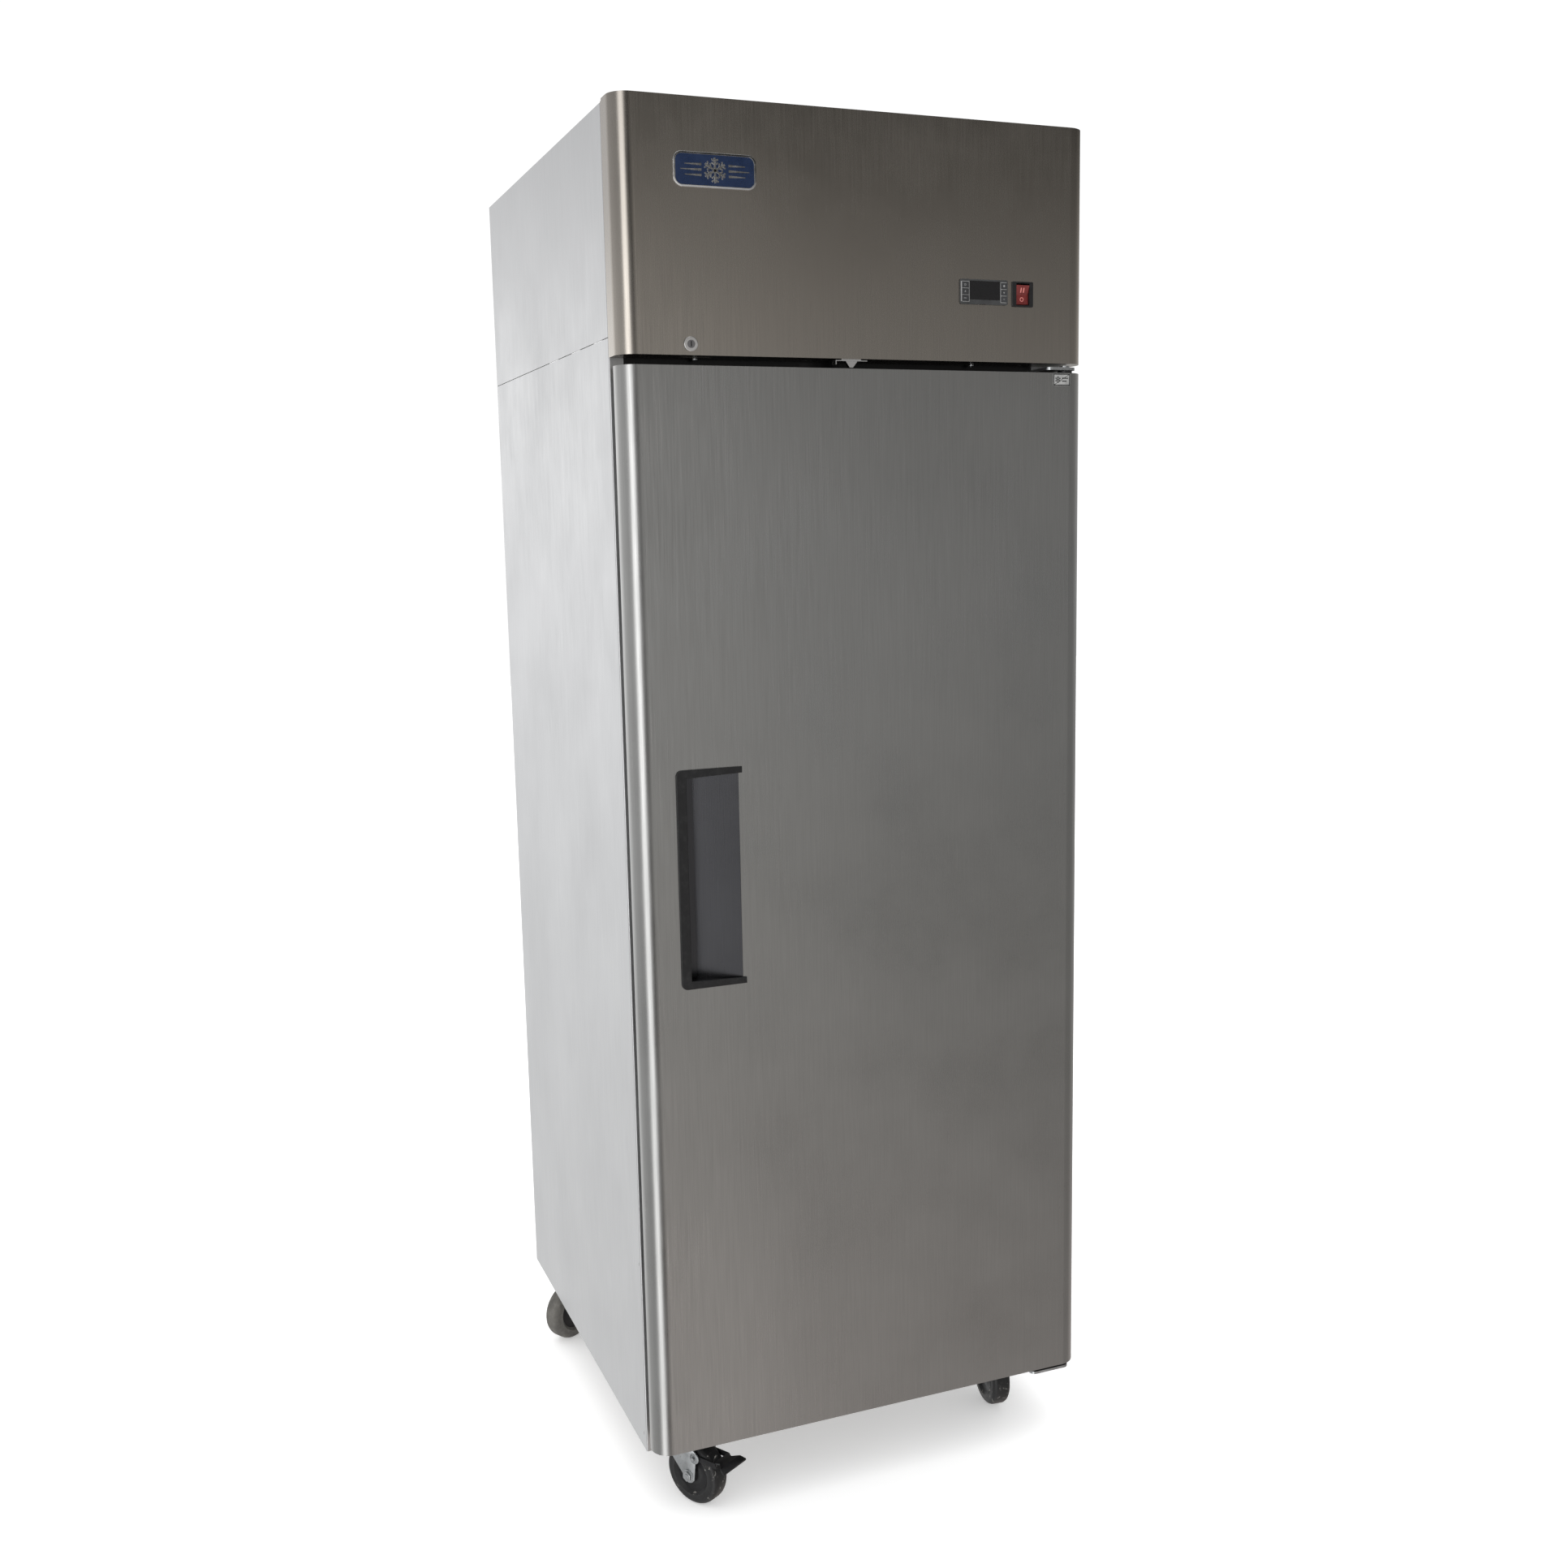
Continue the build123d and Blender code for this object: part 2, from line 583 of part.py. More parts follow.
with BuildPart() as refrigerant_lines:
    tube(
        (
            (stub_x, COMP_Y, DISCHARGE_Z),
            (RISER_X, COMP_Y, DISCHARGE_Z),
            (RISER_X, COMP_Y, top_row_z),
            (RISER_X, line_y_rear, top_row_z),
            (coil_end_x, line_y_rear, top_row_z),
        ),
        DISCHARGE_R,
        16.0,
    )
    tube(
        (
            (coil_end_x, line_y_front, bottom_row_z),
            (RISER_X, line_y_front, bottom_row_z),
            (RISER_X, LINES_Y, bottom_row_z),
            (LINES_X - LINES_APART, LINES_Y, bottom_row_z),
            (LINES_X - LINES_APART, LINES_Y, EVAP_COIL_TOP),
        ),
        LIQUID_R,
        14.0,
    )
    rod(RISER_X, DRIER_Y, bottom_row_z, DRIER_R, DRIER_LENGTH)
    tube(
        (
            (LINES_X + LINES_APART, LINES_Y, EVAP_COIL_TOP),
            (LINES_X + LINES_APART, LINES_Y, SUCTION_Z),
            (LINES_X + LINES_APART, SUCTION_Y, SUCTION_Z),
            (stub_x + 2.0, SUCTION_Y, SUCTION_Z),
        ),
        SUCTION_R,
        20.0,
    )
refrigerant_lines.part.label = "refrigerant_lines"
export_step(refrigerant_lines.part, "parts/refrigerant_lines.step")

# Electrical box with its lid, and the gland that the mains lead would come in by.
BOX = (130.0, 320.0, -325.0, -225.0, DECK_Z, 1865.0)
BOX_SHEET = 1.5
LID_OVERLAP = 2.0
GLAND_X = 280.0
GLAND_Z = 1795.0
GLAND_R = 8.0
GLAND_BORE_R = 5.0
GLAND_NUT_R = 12.0
GLAND_NUT = 6.0
with BuildPart() as electrical_box:
    x0, x1, y0, y1, z0, z1 = BOX
    block(x0, x1, y0, y1, z0, z1 - BOX_SHEET)
    block(
        x0 + BOX_SHEET,
        x1 - BOX_SHEET,
        y0 + BOX_SHEET,
        y1 - BOX_SHEET,
        z0 + BOX_SHEET,
        z1,
        Mode.SUBTRACT,
    )
    rod(GLAND_X, y1, GLAND_Z, GLAND_R, 10.0, "Y", Mode.SUBTRACT)
box_tub = electrical_box.part
with BuildPart() as electrical_unit:
    add(box_tub)
    block(
        x0 - LID_OVERLAP,
        x1 + LID_OVERLAP,
        y0 - LID_OVERLAP,
        y1 + LID_OVERLAP,
        z1 - BOX_SHEET,
        z1,
    )
    rod(GLAND_X, y1 + 2.0, GLAND_Z, GLAND_R, 24.0)
    with BuildSketch(Plane.XZ.offset(-y1)):
        with Locations((GLAND_X, GLAND_Z)):
            RegularPolygon(GLAND_NUT_R, 6)
    extrude(amount=-GLAND_NUT)
    rod(GLAND_X, y1 + 8.0, GLAND_Z, GLAND_BORE_R, 60.0, "Y", Mode.SUBTRACT)
electrical_unit.part.label = "electrical_box"
export_step(electrical_unit.part, "parts/electrical_box.step")

# ==== Machine compartment ==================================================================
with BuildPart() as machine_side_panels:
    with BuildSketch(Plane.XY.offset(SEAM_Z + SEAM_HALF)):
        side_plan(-1)
        side_plan(1)
    extrude(amount=MACHINE_TOP_Z - SEAM_Z - SEAM_HALF)
    drill(rear_screws)
machine_side_panels.part.label = "machine_side_panels"
export_step(machine_side_panels.part, "parts/machine_side_panels.step")

with BuildPart() as machine_back_grille:
    block(-inside, inside, panel_back_y - SHEET, panel_back_y, DECK_Z, MACHINE_TOP_Z)
    with BuildSketch(Plane.XZ.offset(-panel_back_y)):
        with Locations((0, (SEAM_Z + MACHINE_TOP_Z) / 2)):
            with GridLocations(150.0, 18.0, 4, 13):
                SlotOverall(124.0, 7.0)
    extrude(amount=SHEET, mode=Mode.SUBTRACT)
    drill(rear_screws)
machine_back_grille.part.label = "machine_back_grille"
export_step(machine_back_grille.part, "parts/machine_back_grille.step")

# Front rail with the root halves of the header's two hinges, and the angle that the header's
# lower flange is screwed up to.
RAIL_SHEET = 1.5
ANGLE_Z = 1729.0
LEAF_HALF = 25.0
LEAF_BOTTOM_Z = 2040.0
KNUCKLE_HALF = 10.0
KNUCKLE_GAP = 0.3
with BuildPart() as header_rail:
    block(-inside, inside, foam_front_y, foam_front_y + RAIL_SHEET, 2030.0, MACHINE_TOP_Z)
    block(-inside, inside, foam_front_y, -308.0, MACHINE_TOP_Z - RAIL_SHEET, MACHINE_TOP_Z)
    block(-280.0, 280.0, -365.0, JAMB_Y, ANGLE_Z, ANGLE_Z + RAIL_SHEET)
    block(-280.0, 280.0, JAMB_Y - RAIL_SHEET, JAMB_Y, ANGLE_Z, SEAM_Z - SEAM_MARGIN)
    for x in HEADER_SCREW_XS:
        rod(x, HEADER_SCREW_Y, ANGLE_Z, SCREW_R, 6.0, "Z", Mode.SUBTRACT)
    for x in HEADER_HINGE_XS:
        leaf_top = HEADER_HINGE_Z - KNUCKLE_R - 0.5
        block(x - LEAF_HALF, x + LEAF_HALF, JAMB_Y, foam_front_y, LEAF_BOTTOM_Z, leaf_top)
        for end in (-1, 1):
            low, high = sorted((x + end * LEAF_HALF, x + end * (KNUCKLE_HALF + KNUCKLE_GAP)))
            block(low, high, JAMB_Y, foam_front_y, leaf_top, HEADER_HINGE_Z)
            rod((low + high) / 2, HEADER_HINGE_Y, HEADER_HINGE_Z, KNUCKLE_R, high - low, "X")
        rod(x, HEADER_HINGE_Y, HEADER_HINGE_Z, HEADER_PIN_R, 2 * LEAF_HALF, "X")
header_rail.part.label = "header_rail"
export_step(header_rail.part, "parts/header_rail.step")

# ==== Door hinge brackets with their pins ===================================================
PLATE = 4.0
TOP_PLATE_Z = 1718.0
BOTTOM_PLATE_Z = 111.0
BRACKET_FRONT_Y = -392.0
PIN_DEPTH = 18.0  # how far each pin reaches into the door
PIN_HEAD_R = 7.0
PIN_HEAD = 3.0
BRACKET_CORNER_R = 9.0
with BuildPart() as hinge_brackets:
    top_leg_z1 = SEAM_Z - SEAM_MARGIN
    low_leg_z1 = BOTTOM_PLATE_Z + 17.0
    block(300.0, 350.0, BRACKET_FRONT_Y, JAMB_Y, TOP_PLATE_Z, TOP_PLATE_Z + PLATE)
    block(300.0, 350.0, bracket_face_y, JAMB_Y, TOP_PLATE_Z, top_leg_z1)
    block(279.0, 349.0, BRACKET_FRONT_Y, JAMB_Y, BOTTOM_PLATE_Z, BOTTOM_PLATE_Z + PLATE)
    block(279.0, 320.0, bracket_face_y, JAMB_Y, BOTTOM_PLATE_Z, low_leg_z1)
    upright_edges = hinge_brackets.edges().filter_by(Axis.Z)
    fillet(upright_edges.group_by(Axis.Y)[0], BRACKET_CORNER_R)
    for z in (TOP_PLATE_Z, BOTTOM_PLATE_Z):
        rod(HINGE_X, HINGE_Y, z, PIN_R, 40.0, "Z", Mode.SUBTRACT)
    drill(bracket_screws)
bracket_plates = hinge_brackets.part
with BuildPart() as hinge_set:
    add(bracket_plates)
    z0 = DOOR_TOP_Z - PIN_DEPTH
    z1 = TOP_PLATE_Z + PLATE
    rod(HINGE_X, HINGE_Y, (z0 + z1) / 2, PIN_R, z1 - z0, "Z")
    rod(HINGE_X, HINGE_Y, z1 + PIN_HEAD / 2, PIN_HEAD_R, PIN_HEAD, "Z")
    z0 = BOTTOM_PLATE_Z
    z1 = DOOR_BOTTOM_Z + PIN_DEPTH
    rod(HINGE_X, HINGE_Y, (z0 + z1) / 2, PIN_R, z1 - z0, "Z")
    rod(HINGE_X, HINGE_Y, z0 - PIN_HEAD / 2, PIN_HEAD_R, PIN_HEAD, "Z")
hinge_set.part.label = "hinge_brackets"
export_step(hinge_set.part, "parts/hinge_brackets.step")

with BuildPart() as cabinet_screws:
    for x, y, z, axis, facing in bracket_screws + rear_screws:
        rod(x, y - facing * SCREW_LENGTH / 2, z, SCREW_R, SCREW_LENGTH, axis)
        rod(x, y + facing * SCREW_HEAD / 2, z, SCREW_HEAD_R, SCREW_HEAD, axis)
    # the header's two screws, heads down, clear of its flange so that it can lift
    head_top_z = HEADER_BOTTOM_Z - HEADER_SCREW_GAP
    for x in HEADER_SCREW_XS:
        rod(x, HEADER_SCREW_Y, head_top_z + 3.6, SCREW_R, 7.6, "Z")
        rod(x, HEADER_SCREW_Y, head_top_z - 1.1, SCREW_HEAD_R, 2.2, "Z")
cabinet_screws.part.label = "cabinet_screws"
export_step(cabinet_screws.part, "parts/cabinet_screws.step")

# ==== Door =================================================================================
REAR_EDGE_R = 3.0
DOOR_RETURN = 12.0
GRIP_X0 = -300.0  # left edge of the opening in the door skin
RAMP_X = -206.0  # where the recess floor meets the front
RAMP_RUN = 64.0
RECESS_DEPTH = 26.5
PAN_Z0 = 841.0
PAN_Z1 = 1149.0
pan_front_y = FRONT_Y + SHEET
pan_back_y = pan_front_y + RECESS_DEPTH
ramp = atan2(RECESS_DEPTH, RAMP_RUN)
ramp_shift = SHEET / sin(ramp)  # sheet thickness measured along X on the ramp
inner_ramp_x = RAMP_X - ramp_shift
inner_floor_x = inner_ramp_x - (RECESS_DEPTH - SHEET) * RAMP_RUN / RECESS_DEPTH
door_inside = HALF_WIDTH - SHEET

# plan of the space inside the skin, for bullnosed
inside_skin = (
    door_inside,
    pan_front_y,
    DOOR_BACK_Y - SHEET,
    BULLNOSE - SHEET,
    REAR_EDGE_R - SHEET,
)
recess_plan = (
    (RAMP_X, pan_front_y),
    (RAMP_X - RAMP_RUN, pan_back_y),
    (GRIP_X0 - SHEET, pan_back_y),
    (GRIP_X0 - SHEET, pan_front_y),
)

with BuildPart() as door_skin:
    with BuildSketch(Plane.XY.offset(DOOR_BOTTOM_Z)):
        bullnosed(HALF_WIDTH, FRONT_Y, DOOR_BACK_Y, BULLNOSE, REAR_EDGE_R)
    extrude(amount=DOOR_TOP_Z - DOOR_BOTTOM_Z)
    with BuildSketch(Plane.XY.offset(DOOR_BOTTOM_Z)):
        bullnosed(*inside_skin)
    extrude(amount=DOOR_TOP_Z - DOOR_BOTTOM_Z, mode=Mode.SUBTRACT)
    back_half = HALF_WIDTH - DOOR_RETURN
    block(
        -back_half,
        back_half,
        DOOR_BACK_Y - SHEET,
        DOOR_BACK_Y,
        DOOR_BOTTOM_Z,
        DOOR_TOP_Z,
        Mode.SUBTRACT,
    )
    block(
        GRIP_X0,
        inner_ramp_x,
        FRONT_Y,
        pan_front_y,
        PAN_Z0 + SHEET,
        PAN_Z1 - SHEET,
        Mode.SUBTRACT,
    )
door_skin.part.label = "door_skin"
export_step(door_skin.part, "parts/door_skin.step")

BUSH_FLANGE_R = 11.0
BUSH_BARREL_R = 8.0
BUSH_FLANGE = 3.7
BUSH_BARREL = 14.0
CAM_SLOT_DEPTH = 12.0
cam_slot = (LOCK_X - 7.0, LOCK_X + 26.0, CAM_Y - 2.6, CAM_Y + 2.6)
with BuildPart() as door_end_caps:
    for z0 in (DOOR_BOTTOM_Z, DOOR_TOP_Z - DOOR_CAP):
        with BuildSketch(Plane.XY.offset(z0)):
            bullnosed(*inside_skin)
        extrude(amount=DOOR_CAP)
    for edge_z, outward in ((DOOR_BOTTOM_Z, -1), (DOOR_TOP_Z, 1)):
        flange_z = edge_z + outward * BUSH_FLANGE / 2
        barrel_z = edge_z - outward * BUSH_BARREL / 2
        rod(HINGE_X, HINGE_Y, flange_z, BUSH_FLANGE_R, BUSH_FLANGE, "Z")
        rod(HINGE_X, HINGE_Y, barrel_z, BUSH_BARREL_R, BUSH_BARREL, "Z")
        rod(HINGE_X, HINGE_Y, edge_z, PIN_R + RUNNING, 60.0, "Z", Mode.SUBTRACT)
    block(*cam_slot, DOOR_TOP_Z - DOOR_CAP, DOOR_TOP_Z, Mode.SUBTRACT)
door_end_caps.part.label = "door_end_caps"
export_step(door_end_caps.part, "parts/door_end_caps.step")

with BuildPart() as door_insulation:
    with BuildSketch(Plane.XY.offset(DOOR_BOTTOM_Z + DOOR_CAP)):
        bullnosed(*inside_skin)
    extrude(amount=DOOR_TOP_Z - DOOR_BOTTOM_Z - 2 * DOOR_CAP)
    with BuildSketch(Plane.XY.offset(PAN_Z0)):
        Polygon(*recess_plan)
    extrude(amount=PAN_Z1 - PAN_Z0, mode=Mode.SUBTRACT)
    for edge_z in (DOOR_BOTTOM_Z, DOOR_TOP_Z):
        rod(HINGE_X, HINGE_Y, edge_z, BUSH_BARREL_R, 2 * BUSH_BARREL, "Z", Mode.SUBTRACT)
        rod(HINGE_X, HINGE_Y, edge_z, PIN_R + 1.0, 2 * PIN_DEPTH + 3.0, "Z", Mode.SUBTRACT)
    block(*cam_slot, DOOR_TOP_Z - CAM_SLOT_DEPTH, DOOR_TOP_Z, Mode.SUBTRACT)
door_insulation.part.label = "door_insulation"
export_step(door_insulation.part, "parts/door_insulation.step")

with BuildPart() as door_inner_panel:
    with BuildSketch(Plane.XZ.offset(-DOOR_BACK_Y)):
        with Locations((0, (DOOR_BOTTOM_Z + DOOR_TOP_Z) / 2)):
            RectangleRounded(2 * (HALF_WIDTH - 9.0), DOOR_TOP_Z - DOOR_BOTTOM_Z - 14.0, 6.0)
    extrude(amount=-SHEET)
door_inner_panel.part.label = "door_inner_panel"
export_step(door_inner_panel.part, "parts/door_inner_panel.step")

# Gasket: a base strip, a narrower bellows and the magnet strip that meets the face frame.
GASKET_HALF = 336.0
GASKET_WIDTH = 20.0
GASKET_GAP = 0.3
GASKET_BASE = 3.0
GASKET_BELLOWS = 9.0
gasket_z0 = 138.0
gasket_z1 = 1692.0
with BuildPart() as door_gasket:
    gasket_front = DOOR_BACK_Y + SHEET
    magnet_depth = JAMB_Y - GASKET_GAP - gasket_front - GASKET_BASE - GASKET_BELLOWS
    for depth, inset in ((GASKET_BASE, 0.0), (GASKET_BELLOWS, 5.0), (magnet_depth, 0.0)):
        with BuildSketch(Plane.XZ.offset(-gasket_front)):
            with Locations((0, (gasket_z0 + gasket_z1) / 2)):
                height = gasket_z1 - gasket_z0
                RectangleRounded(2 * (GASKET_HALF - inset), height - 2 * inset, 12.0)
                hole = GASKET_WIDTH - inset
                RectangleRounded(2 * (GASKET_HALF - hole), height - 2 * hole, 5.0, mode=Mode.SUBTRACT)
        extrude(amount=-depth)
        gasket_front += depth
door_gasket.part.label = "door_gasket"
export_step(door_gasket.part, "parts/door_gasket.step")

with BuildPart() as handle_pan:
    with BuildSketch(Plane.XY.offset(PAN_Z0)):
        Polygon(*recess_plan)
    extrude(amount=PAN_Z1 - PAN_Z0)
    with BuildSketch(Plane.XY.offset(PAN_Z0 + SHEET)):
        Polygon(
            (inner_ramp_x, pan_front_y),
            (inner_floor_x, pan_back_y - SHEET),
            (GRIP_X0, pan_back_y - SHEET),
            (GRIP_X0, pan_front_y),
        )
    extrude(amount=PAN_Z1 - PAN_Z0 - 2 * SHEET, mode=Mode.SUBTRACT)
handle_pan.part.label = "handle_pan"
export_step(handle_pan.part, "parts/handle_pan.step")

# Handle trim: an upright grip bar between two arms, standing 3 mm proud of the door.
TRIM_X0 = -303.0
TRIM_X1 = -203.5
TRIM_Z0 = 835.0
TRIM_Z1 = 1155.0
BAR_WIDTH = 15.0
TRIM_PROUD = 3.0
BAR_BACK_Y = -384.0
arm_root = 12.0
arm_tip = 9.0
with BuildPart() as handle_trim:
    with BuildSketch(Plane.XZ.offset(-FRONT_Y)) as trim:
        Polygon(
            (TRIM_X0, TRIM_Z0),
            (TRIM_X1, TRIM_Z0),
            (TRIM_X1, TRIM_Z0 + arm_tip),
            (TRIM_X0 + BAR_WIDTH, TRIM_Z0 + arm_root),
            (TRIM_X0 + BAR_WIDTH, TRIM_Z1 - arm_root),
            (TRIM_X1, TRIM_Z1 - arm_tip),
            (TRIM_X1, TRIM_Z1),
            (TRIM_X0, TRIM_Z1),
        )
        fillet(vertex_near(trim, TRIM_X0, TRIM_Z0), 9.0)
        fillet(vertex_near(trim, TRIM_X0, TRIM_Z1), 9.0)
    extrude(amount=TRIM_PROUD)
    front_face = handle_trim.faces().sort_by(Axis.Y)[0]
    fillet(front_face.edges(), 1.2)
    bar_x1 = TRIM_X0 + BAR_WIDTH
    block(GRIP_X0 + 0.5, bar_x1, FRONT_Y, BAR_BACK_Y, PAN_Z0 + SHEET, PAN_Z1 - SHEET)
    inner_edges = handle_trim.edges().filter_by(Axis.Z).sort_by(Axis.Y)[-2:]
    fillet(inner_edges, 3.0)
handle_trim.part.label = "handle_trim"
export_step(handle_trim.part, "parts/handle_trim.step")

LABEL_X = 322.3
LABEL_Z = 1703.5
with BuildPart() as door_label:
    with BuildSketch(Plane.XZ.offset(-FRONT_Y)):
        with Locations((LABEL_X, LABEL_Z)):
            RectangleRounded(29.0, 18.2, 1.2)
    extrude(amount=0.6)
door_label.part.label = "door_label"
export_step(door_label.part, "parts/door_label.step")

# ==== Header ===============================================================================
CONTROLLER_X = 189.75
CONTROLLER_Z = 1825.75
CONTROLLER_SIZE = (78.3, 35.5)
SWITCH_X = 254.35
SWITCH_Z = 1824.7
SWITCH_SIZE = (35.1, 36.2)
BARREL_R = 8.0
FLANGE_SLOT_HALF = 3.0
HINGE_RELIEF = 4.0  # how far the sheet is cut back from the header's hinge line
TAB_REACH = 9.0
HINGE_NOTCH = (296.0, 354.0)
with BuildPart() as header_panel:
    with BuildSketch(Plane.XY.offset(HEADER_BOTTOM_Z)):
        bullnosed(HALF_WIDTH, FRONT_Y, HEADER_BACK_Y, BULLNOSE)
    extrude(amount=HEIGHT - HEADER_BOTTOM_Z)
    with BuildSketch(Plane.XY.offset(HEADER_BOTTOM_Z + SHEET)):
        bullnosed(door_inside, pan_front_y, HEADER_BACK_Y, BULLNOSE - SHEET)
    extrude(amount=HEIGHT - HEADER_BOTTOM_Z - 2 * SHEET, mode=Mode.SUBTRACT)
    # top flange and sides stop short of the hinge line
    y0 = HEADER_BACK_Y - HINGE_RELIEF
    block(-HALF_WIDTH, HALF_WIDTH, y0, HEADER_BACK_Y, HEADER_HINGE_Z - 0.5, HEIGHT, Mode.SUBTRACT)
    for x in HEADER_HINGE_XS:
        x0 = x - KNUCKLE_HALF
        x1 = x + KNUCKLE_HALF
        tab_z = HEIGHT - 2 * SHEET
        bore_r = HEADER_PIN_R + RUNNING
        block(x0, x1, HEADER_HINGE_Y - TAB_REACH, HEADER_HINGE_Y, tab_z, tab_z + SHEET)
        rod(x, HEADER_HINGE_Y, HEADER_HINGE_Z, KNUCKLE_R, x1 - x0, "X")
        rod(x, HEADER_HINGE_Y, HEADER_HINGE_Z, bore_r, 2 * (x1 - x0), "X", Mode.SUBTRACT)
    # cut-outs in the front
    for x, z, half_x, half_z in (
        (CONTROLLER_X, CONTROLLER_Z, 35.5, 14.5),
        (SWITCH_X, SWITCH_Z, 14.0, 16.3),
    ):
        block(x - half_x, x + half_x, FRONT_Y, pan_front_y, z - half_z, z + half_z, Mode.SUBTRACT)
    rod(LOCK_X, FRONT_Y, LOCK_Z, BARREL_R + RUNNING, 6.0, "Y", Mode.SUBTRACT)
    # cut-outs in the lower flange: the lock's cam, two open screw slots, the hinge bracket
    slot_x1 = LOCK_X + CAM_REACH + 0.5
    low_z = HEADER_BOTTOM_Z
    block(LOCK_X - 7.0, slot_x1, cam_slot[2], cam_slot[3], low_z, low_z + SHEET, Mode.SUBTRACT)
    for x in HEADER_SCREW_XS:
        rod(x, HEADER_SCREW_Y, low_z, FLANGE_SLOT_HALF, 6.0, "Z", Mode.SUBTRACT)
        slot = (x - FLANGE_SLOT_HALF, x + FLANGE_SLOT_HALF, HEADER_SCREW_Y, HEADER_BACK_Y)
        block(*slot, low_z, low_z + SHEET, Mode.SUBTRACT)
    block(*HINGE_NOTCH, y0, HEADER_BACK_Y, low_z, low_z + SHEET, Mode.SUBTRACT)
header_panel.part.label = "header_panel"
export_step(header_panel.part, "parts/header_panel.step")

BADGE_X = -221.5
BADGE_Z = 1970.6
with BuildPart() as header_badge:
    with BuildSketch(Plane.XZ.offset(-FRONT_Y)):
        with Locations((BADGE_X, BADGE_Z)):
            RectangleRounded(119.0, 46.0, 12.0)
    extrude(amount=1.8)
    fillet(header_badge.faces().sort_by(Axis.Y)[0].edges(), 0.6)
header_badge.part.label = "header_badge"
export_step(header_badge.part, "parts/header_badge.step")

# Controller: bezel and electronics case in one, a display window and six travelling keys.
BEZEL_PROUD = 3.0
BEZEL_FRONT_Y = FRONT_Y - BEZEL_PROUD
CASE_BACK_Y = -352.0
DISPLAY = (165.8, 215.7, 1814.6, 1841.2)
DISPLAY_DEPTH = 1.2
KEY_PITCH = 9.4
KEY_HEIGHT = 7.6
KEY_PROUD = 0.6
KEY_DEPTH = 2.0
KEY_TRAVEL = 0.5
KEY_CLEARANCE = 0.3
key_columns = {"left": (158.2, 9.4), "right": (222.2, 8.6)}
key_rows = {"lower": -1, "middle": 0, "upper": 1}
with BuildPart() as controller_case:
    with BuildSketch(Plane.XZ.offset(-FRONT_Y)):
        with Locations((CONTROLLER_X, CONTROLLER_Z)):
            RectangleRounded(*CONTROLLER_SIZE, 3.0)
    extrude(amount=BEZEL_PROUD)
    fillet(controller_case.faces().sort_by(Axis.Y)[0].edges(), 0.8)
    block(
        CONTROLLER_X - 35.0,
        CONTROLLER_X + 35.0,
        FRONT_Y,
        CASE_BACK_Y,
        CONTROLLER_Z - 14.0,
        CONTROLLER_Z + 14.0,
    )
    x0, x1, z0, z1 = DISPLAY
    block(x0, x1, BEZEL_FRONT_Y, BEZEL_FRONT_Y + DISPLAY_DEPTH, z0, z1, Mode.SUBTRACT)
    pocket_back_y = BEZEL_FRONT_Y + KEY_DEPTH + KEY_TRAVEL - KEY_PROUD + KEY_CLEARANCE
    for key_x, key_width in key_columns.values():
        half_x = key_width / 2 + KEY_CLEARANCE
        half_z = KEY_HEIGHT / 2 + KEY_CLEARANCE
        for row in key_rows.values():
            z = CONTROLLER_Z + row * KEY_PITCH
            block(
                key_x - half_x,
                key_x + half_x,
                BEZEL_FRONT_Y,
                pocket_back_y,
                z - half_z,
                z + half_z,
                Mode.SUBTRACT,
            )
controller_case.part.label = "controller_case"
export_step(controller_case.part, "parts/controller_case.step")

with BuildPart() as controller_display:
    x0, x1, z0, z1 = DISPLAY
    block(x0, x1, BEZEL_FRONT_Y, BEZEL_FRONT_Y + DISPLAY_DEPTH, z0, z1)
controller_display.part.label = "controller_display"
export_step(controller_display.part, "parts/controller_display.step")

for column, (key_x, key_width) in key_columns.items():
    for row_name, row in key_rows.items():
        with BuildPart() as key:
            y0 = BEZEL_FRONT_Y - KEY_PROUD
            z = CONTROLLER_Z + row * KEY_PITCH
            half_x = key_width / 2
            half_z = KEY_HEIGHT / 2
            block(key_x - half_x, key_x + half_x, y0, y0 + KEY_DEPTH, z - half_z, z + half_z)
            fillet(key.faces().sort_by(Axis.Y)[0].edges(), 0.4)
        key.part.label = f"key_{column}_{row_name}"
        export_step(key.part, f"parts/key_{column}_{row_name}.step")

# Rocker switch: the rocker turns on trunnions in its bezel and rests tilted towards the bottom.
SWITCH_BACK_Y = -362.0
ROCKER_Y = -390.0
ROCKER_TILT = 8.0
ROCKER_HALF_X = 10.6
ROCKER_WELL_HALF_Z = 15.6
TRUNNION_R = 1.4
with BuildPart() as switch_bezel:
    with BuildSketch(Plane.XZ.offset(-FRONT_Y)):
        with Locations((SWITCH_X, SWITCH_Z)):
            RectangleRounded(*SWITCH_SIZE, 2.0)
    extrude(amount=2.4)
    fillet(switch_bezel.faces().sort_by(Axis.Y)[0].edges(), 0.8)
    block(
        SWITCH_X - 13.6,
        SWITCH_X + 13.6,
        FRONT_Y,
        SWITCH_BACK_Y,
        SWITCH_Z - 16.2,
        SWITCH_Z + 16.2,
    )
    well_x = ROCKER_HALF_X + 0.4
    block(
        SWITCH_X - well_x,
        SWITCH_X + well_x,
        FRONT_Y - 4.0,
        ROCKER_Y + 11.0,
        SWITCH_Z - ROCKER_WELL_HALF_Z,
        SWITCH_Z + ROCKER_WELL_HALF_Z,
        Mode.SUBTRACT,
    )
    rod(SWITCH_X, ROCKER_Y, SWITCH_Z, TRUNNION_R + RUNNING, 2 * well_x + 2.0, "X", Mode.SUBTRACT)
switch_bezel.part.label = "switch_bezel"
export_step(switch_bezel.part, "parts/switch_bezel.step")

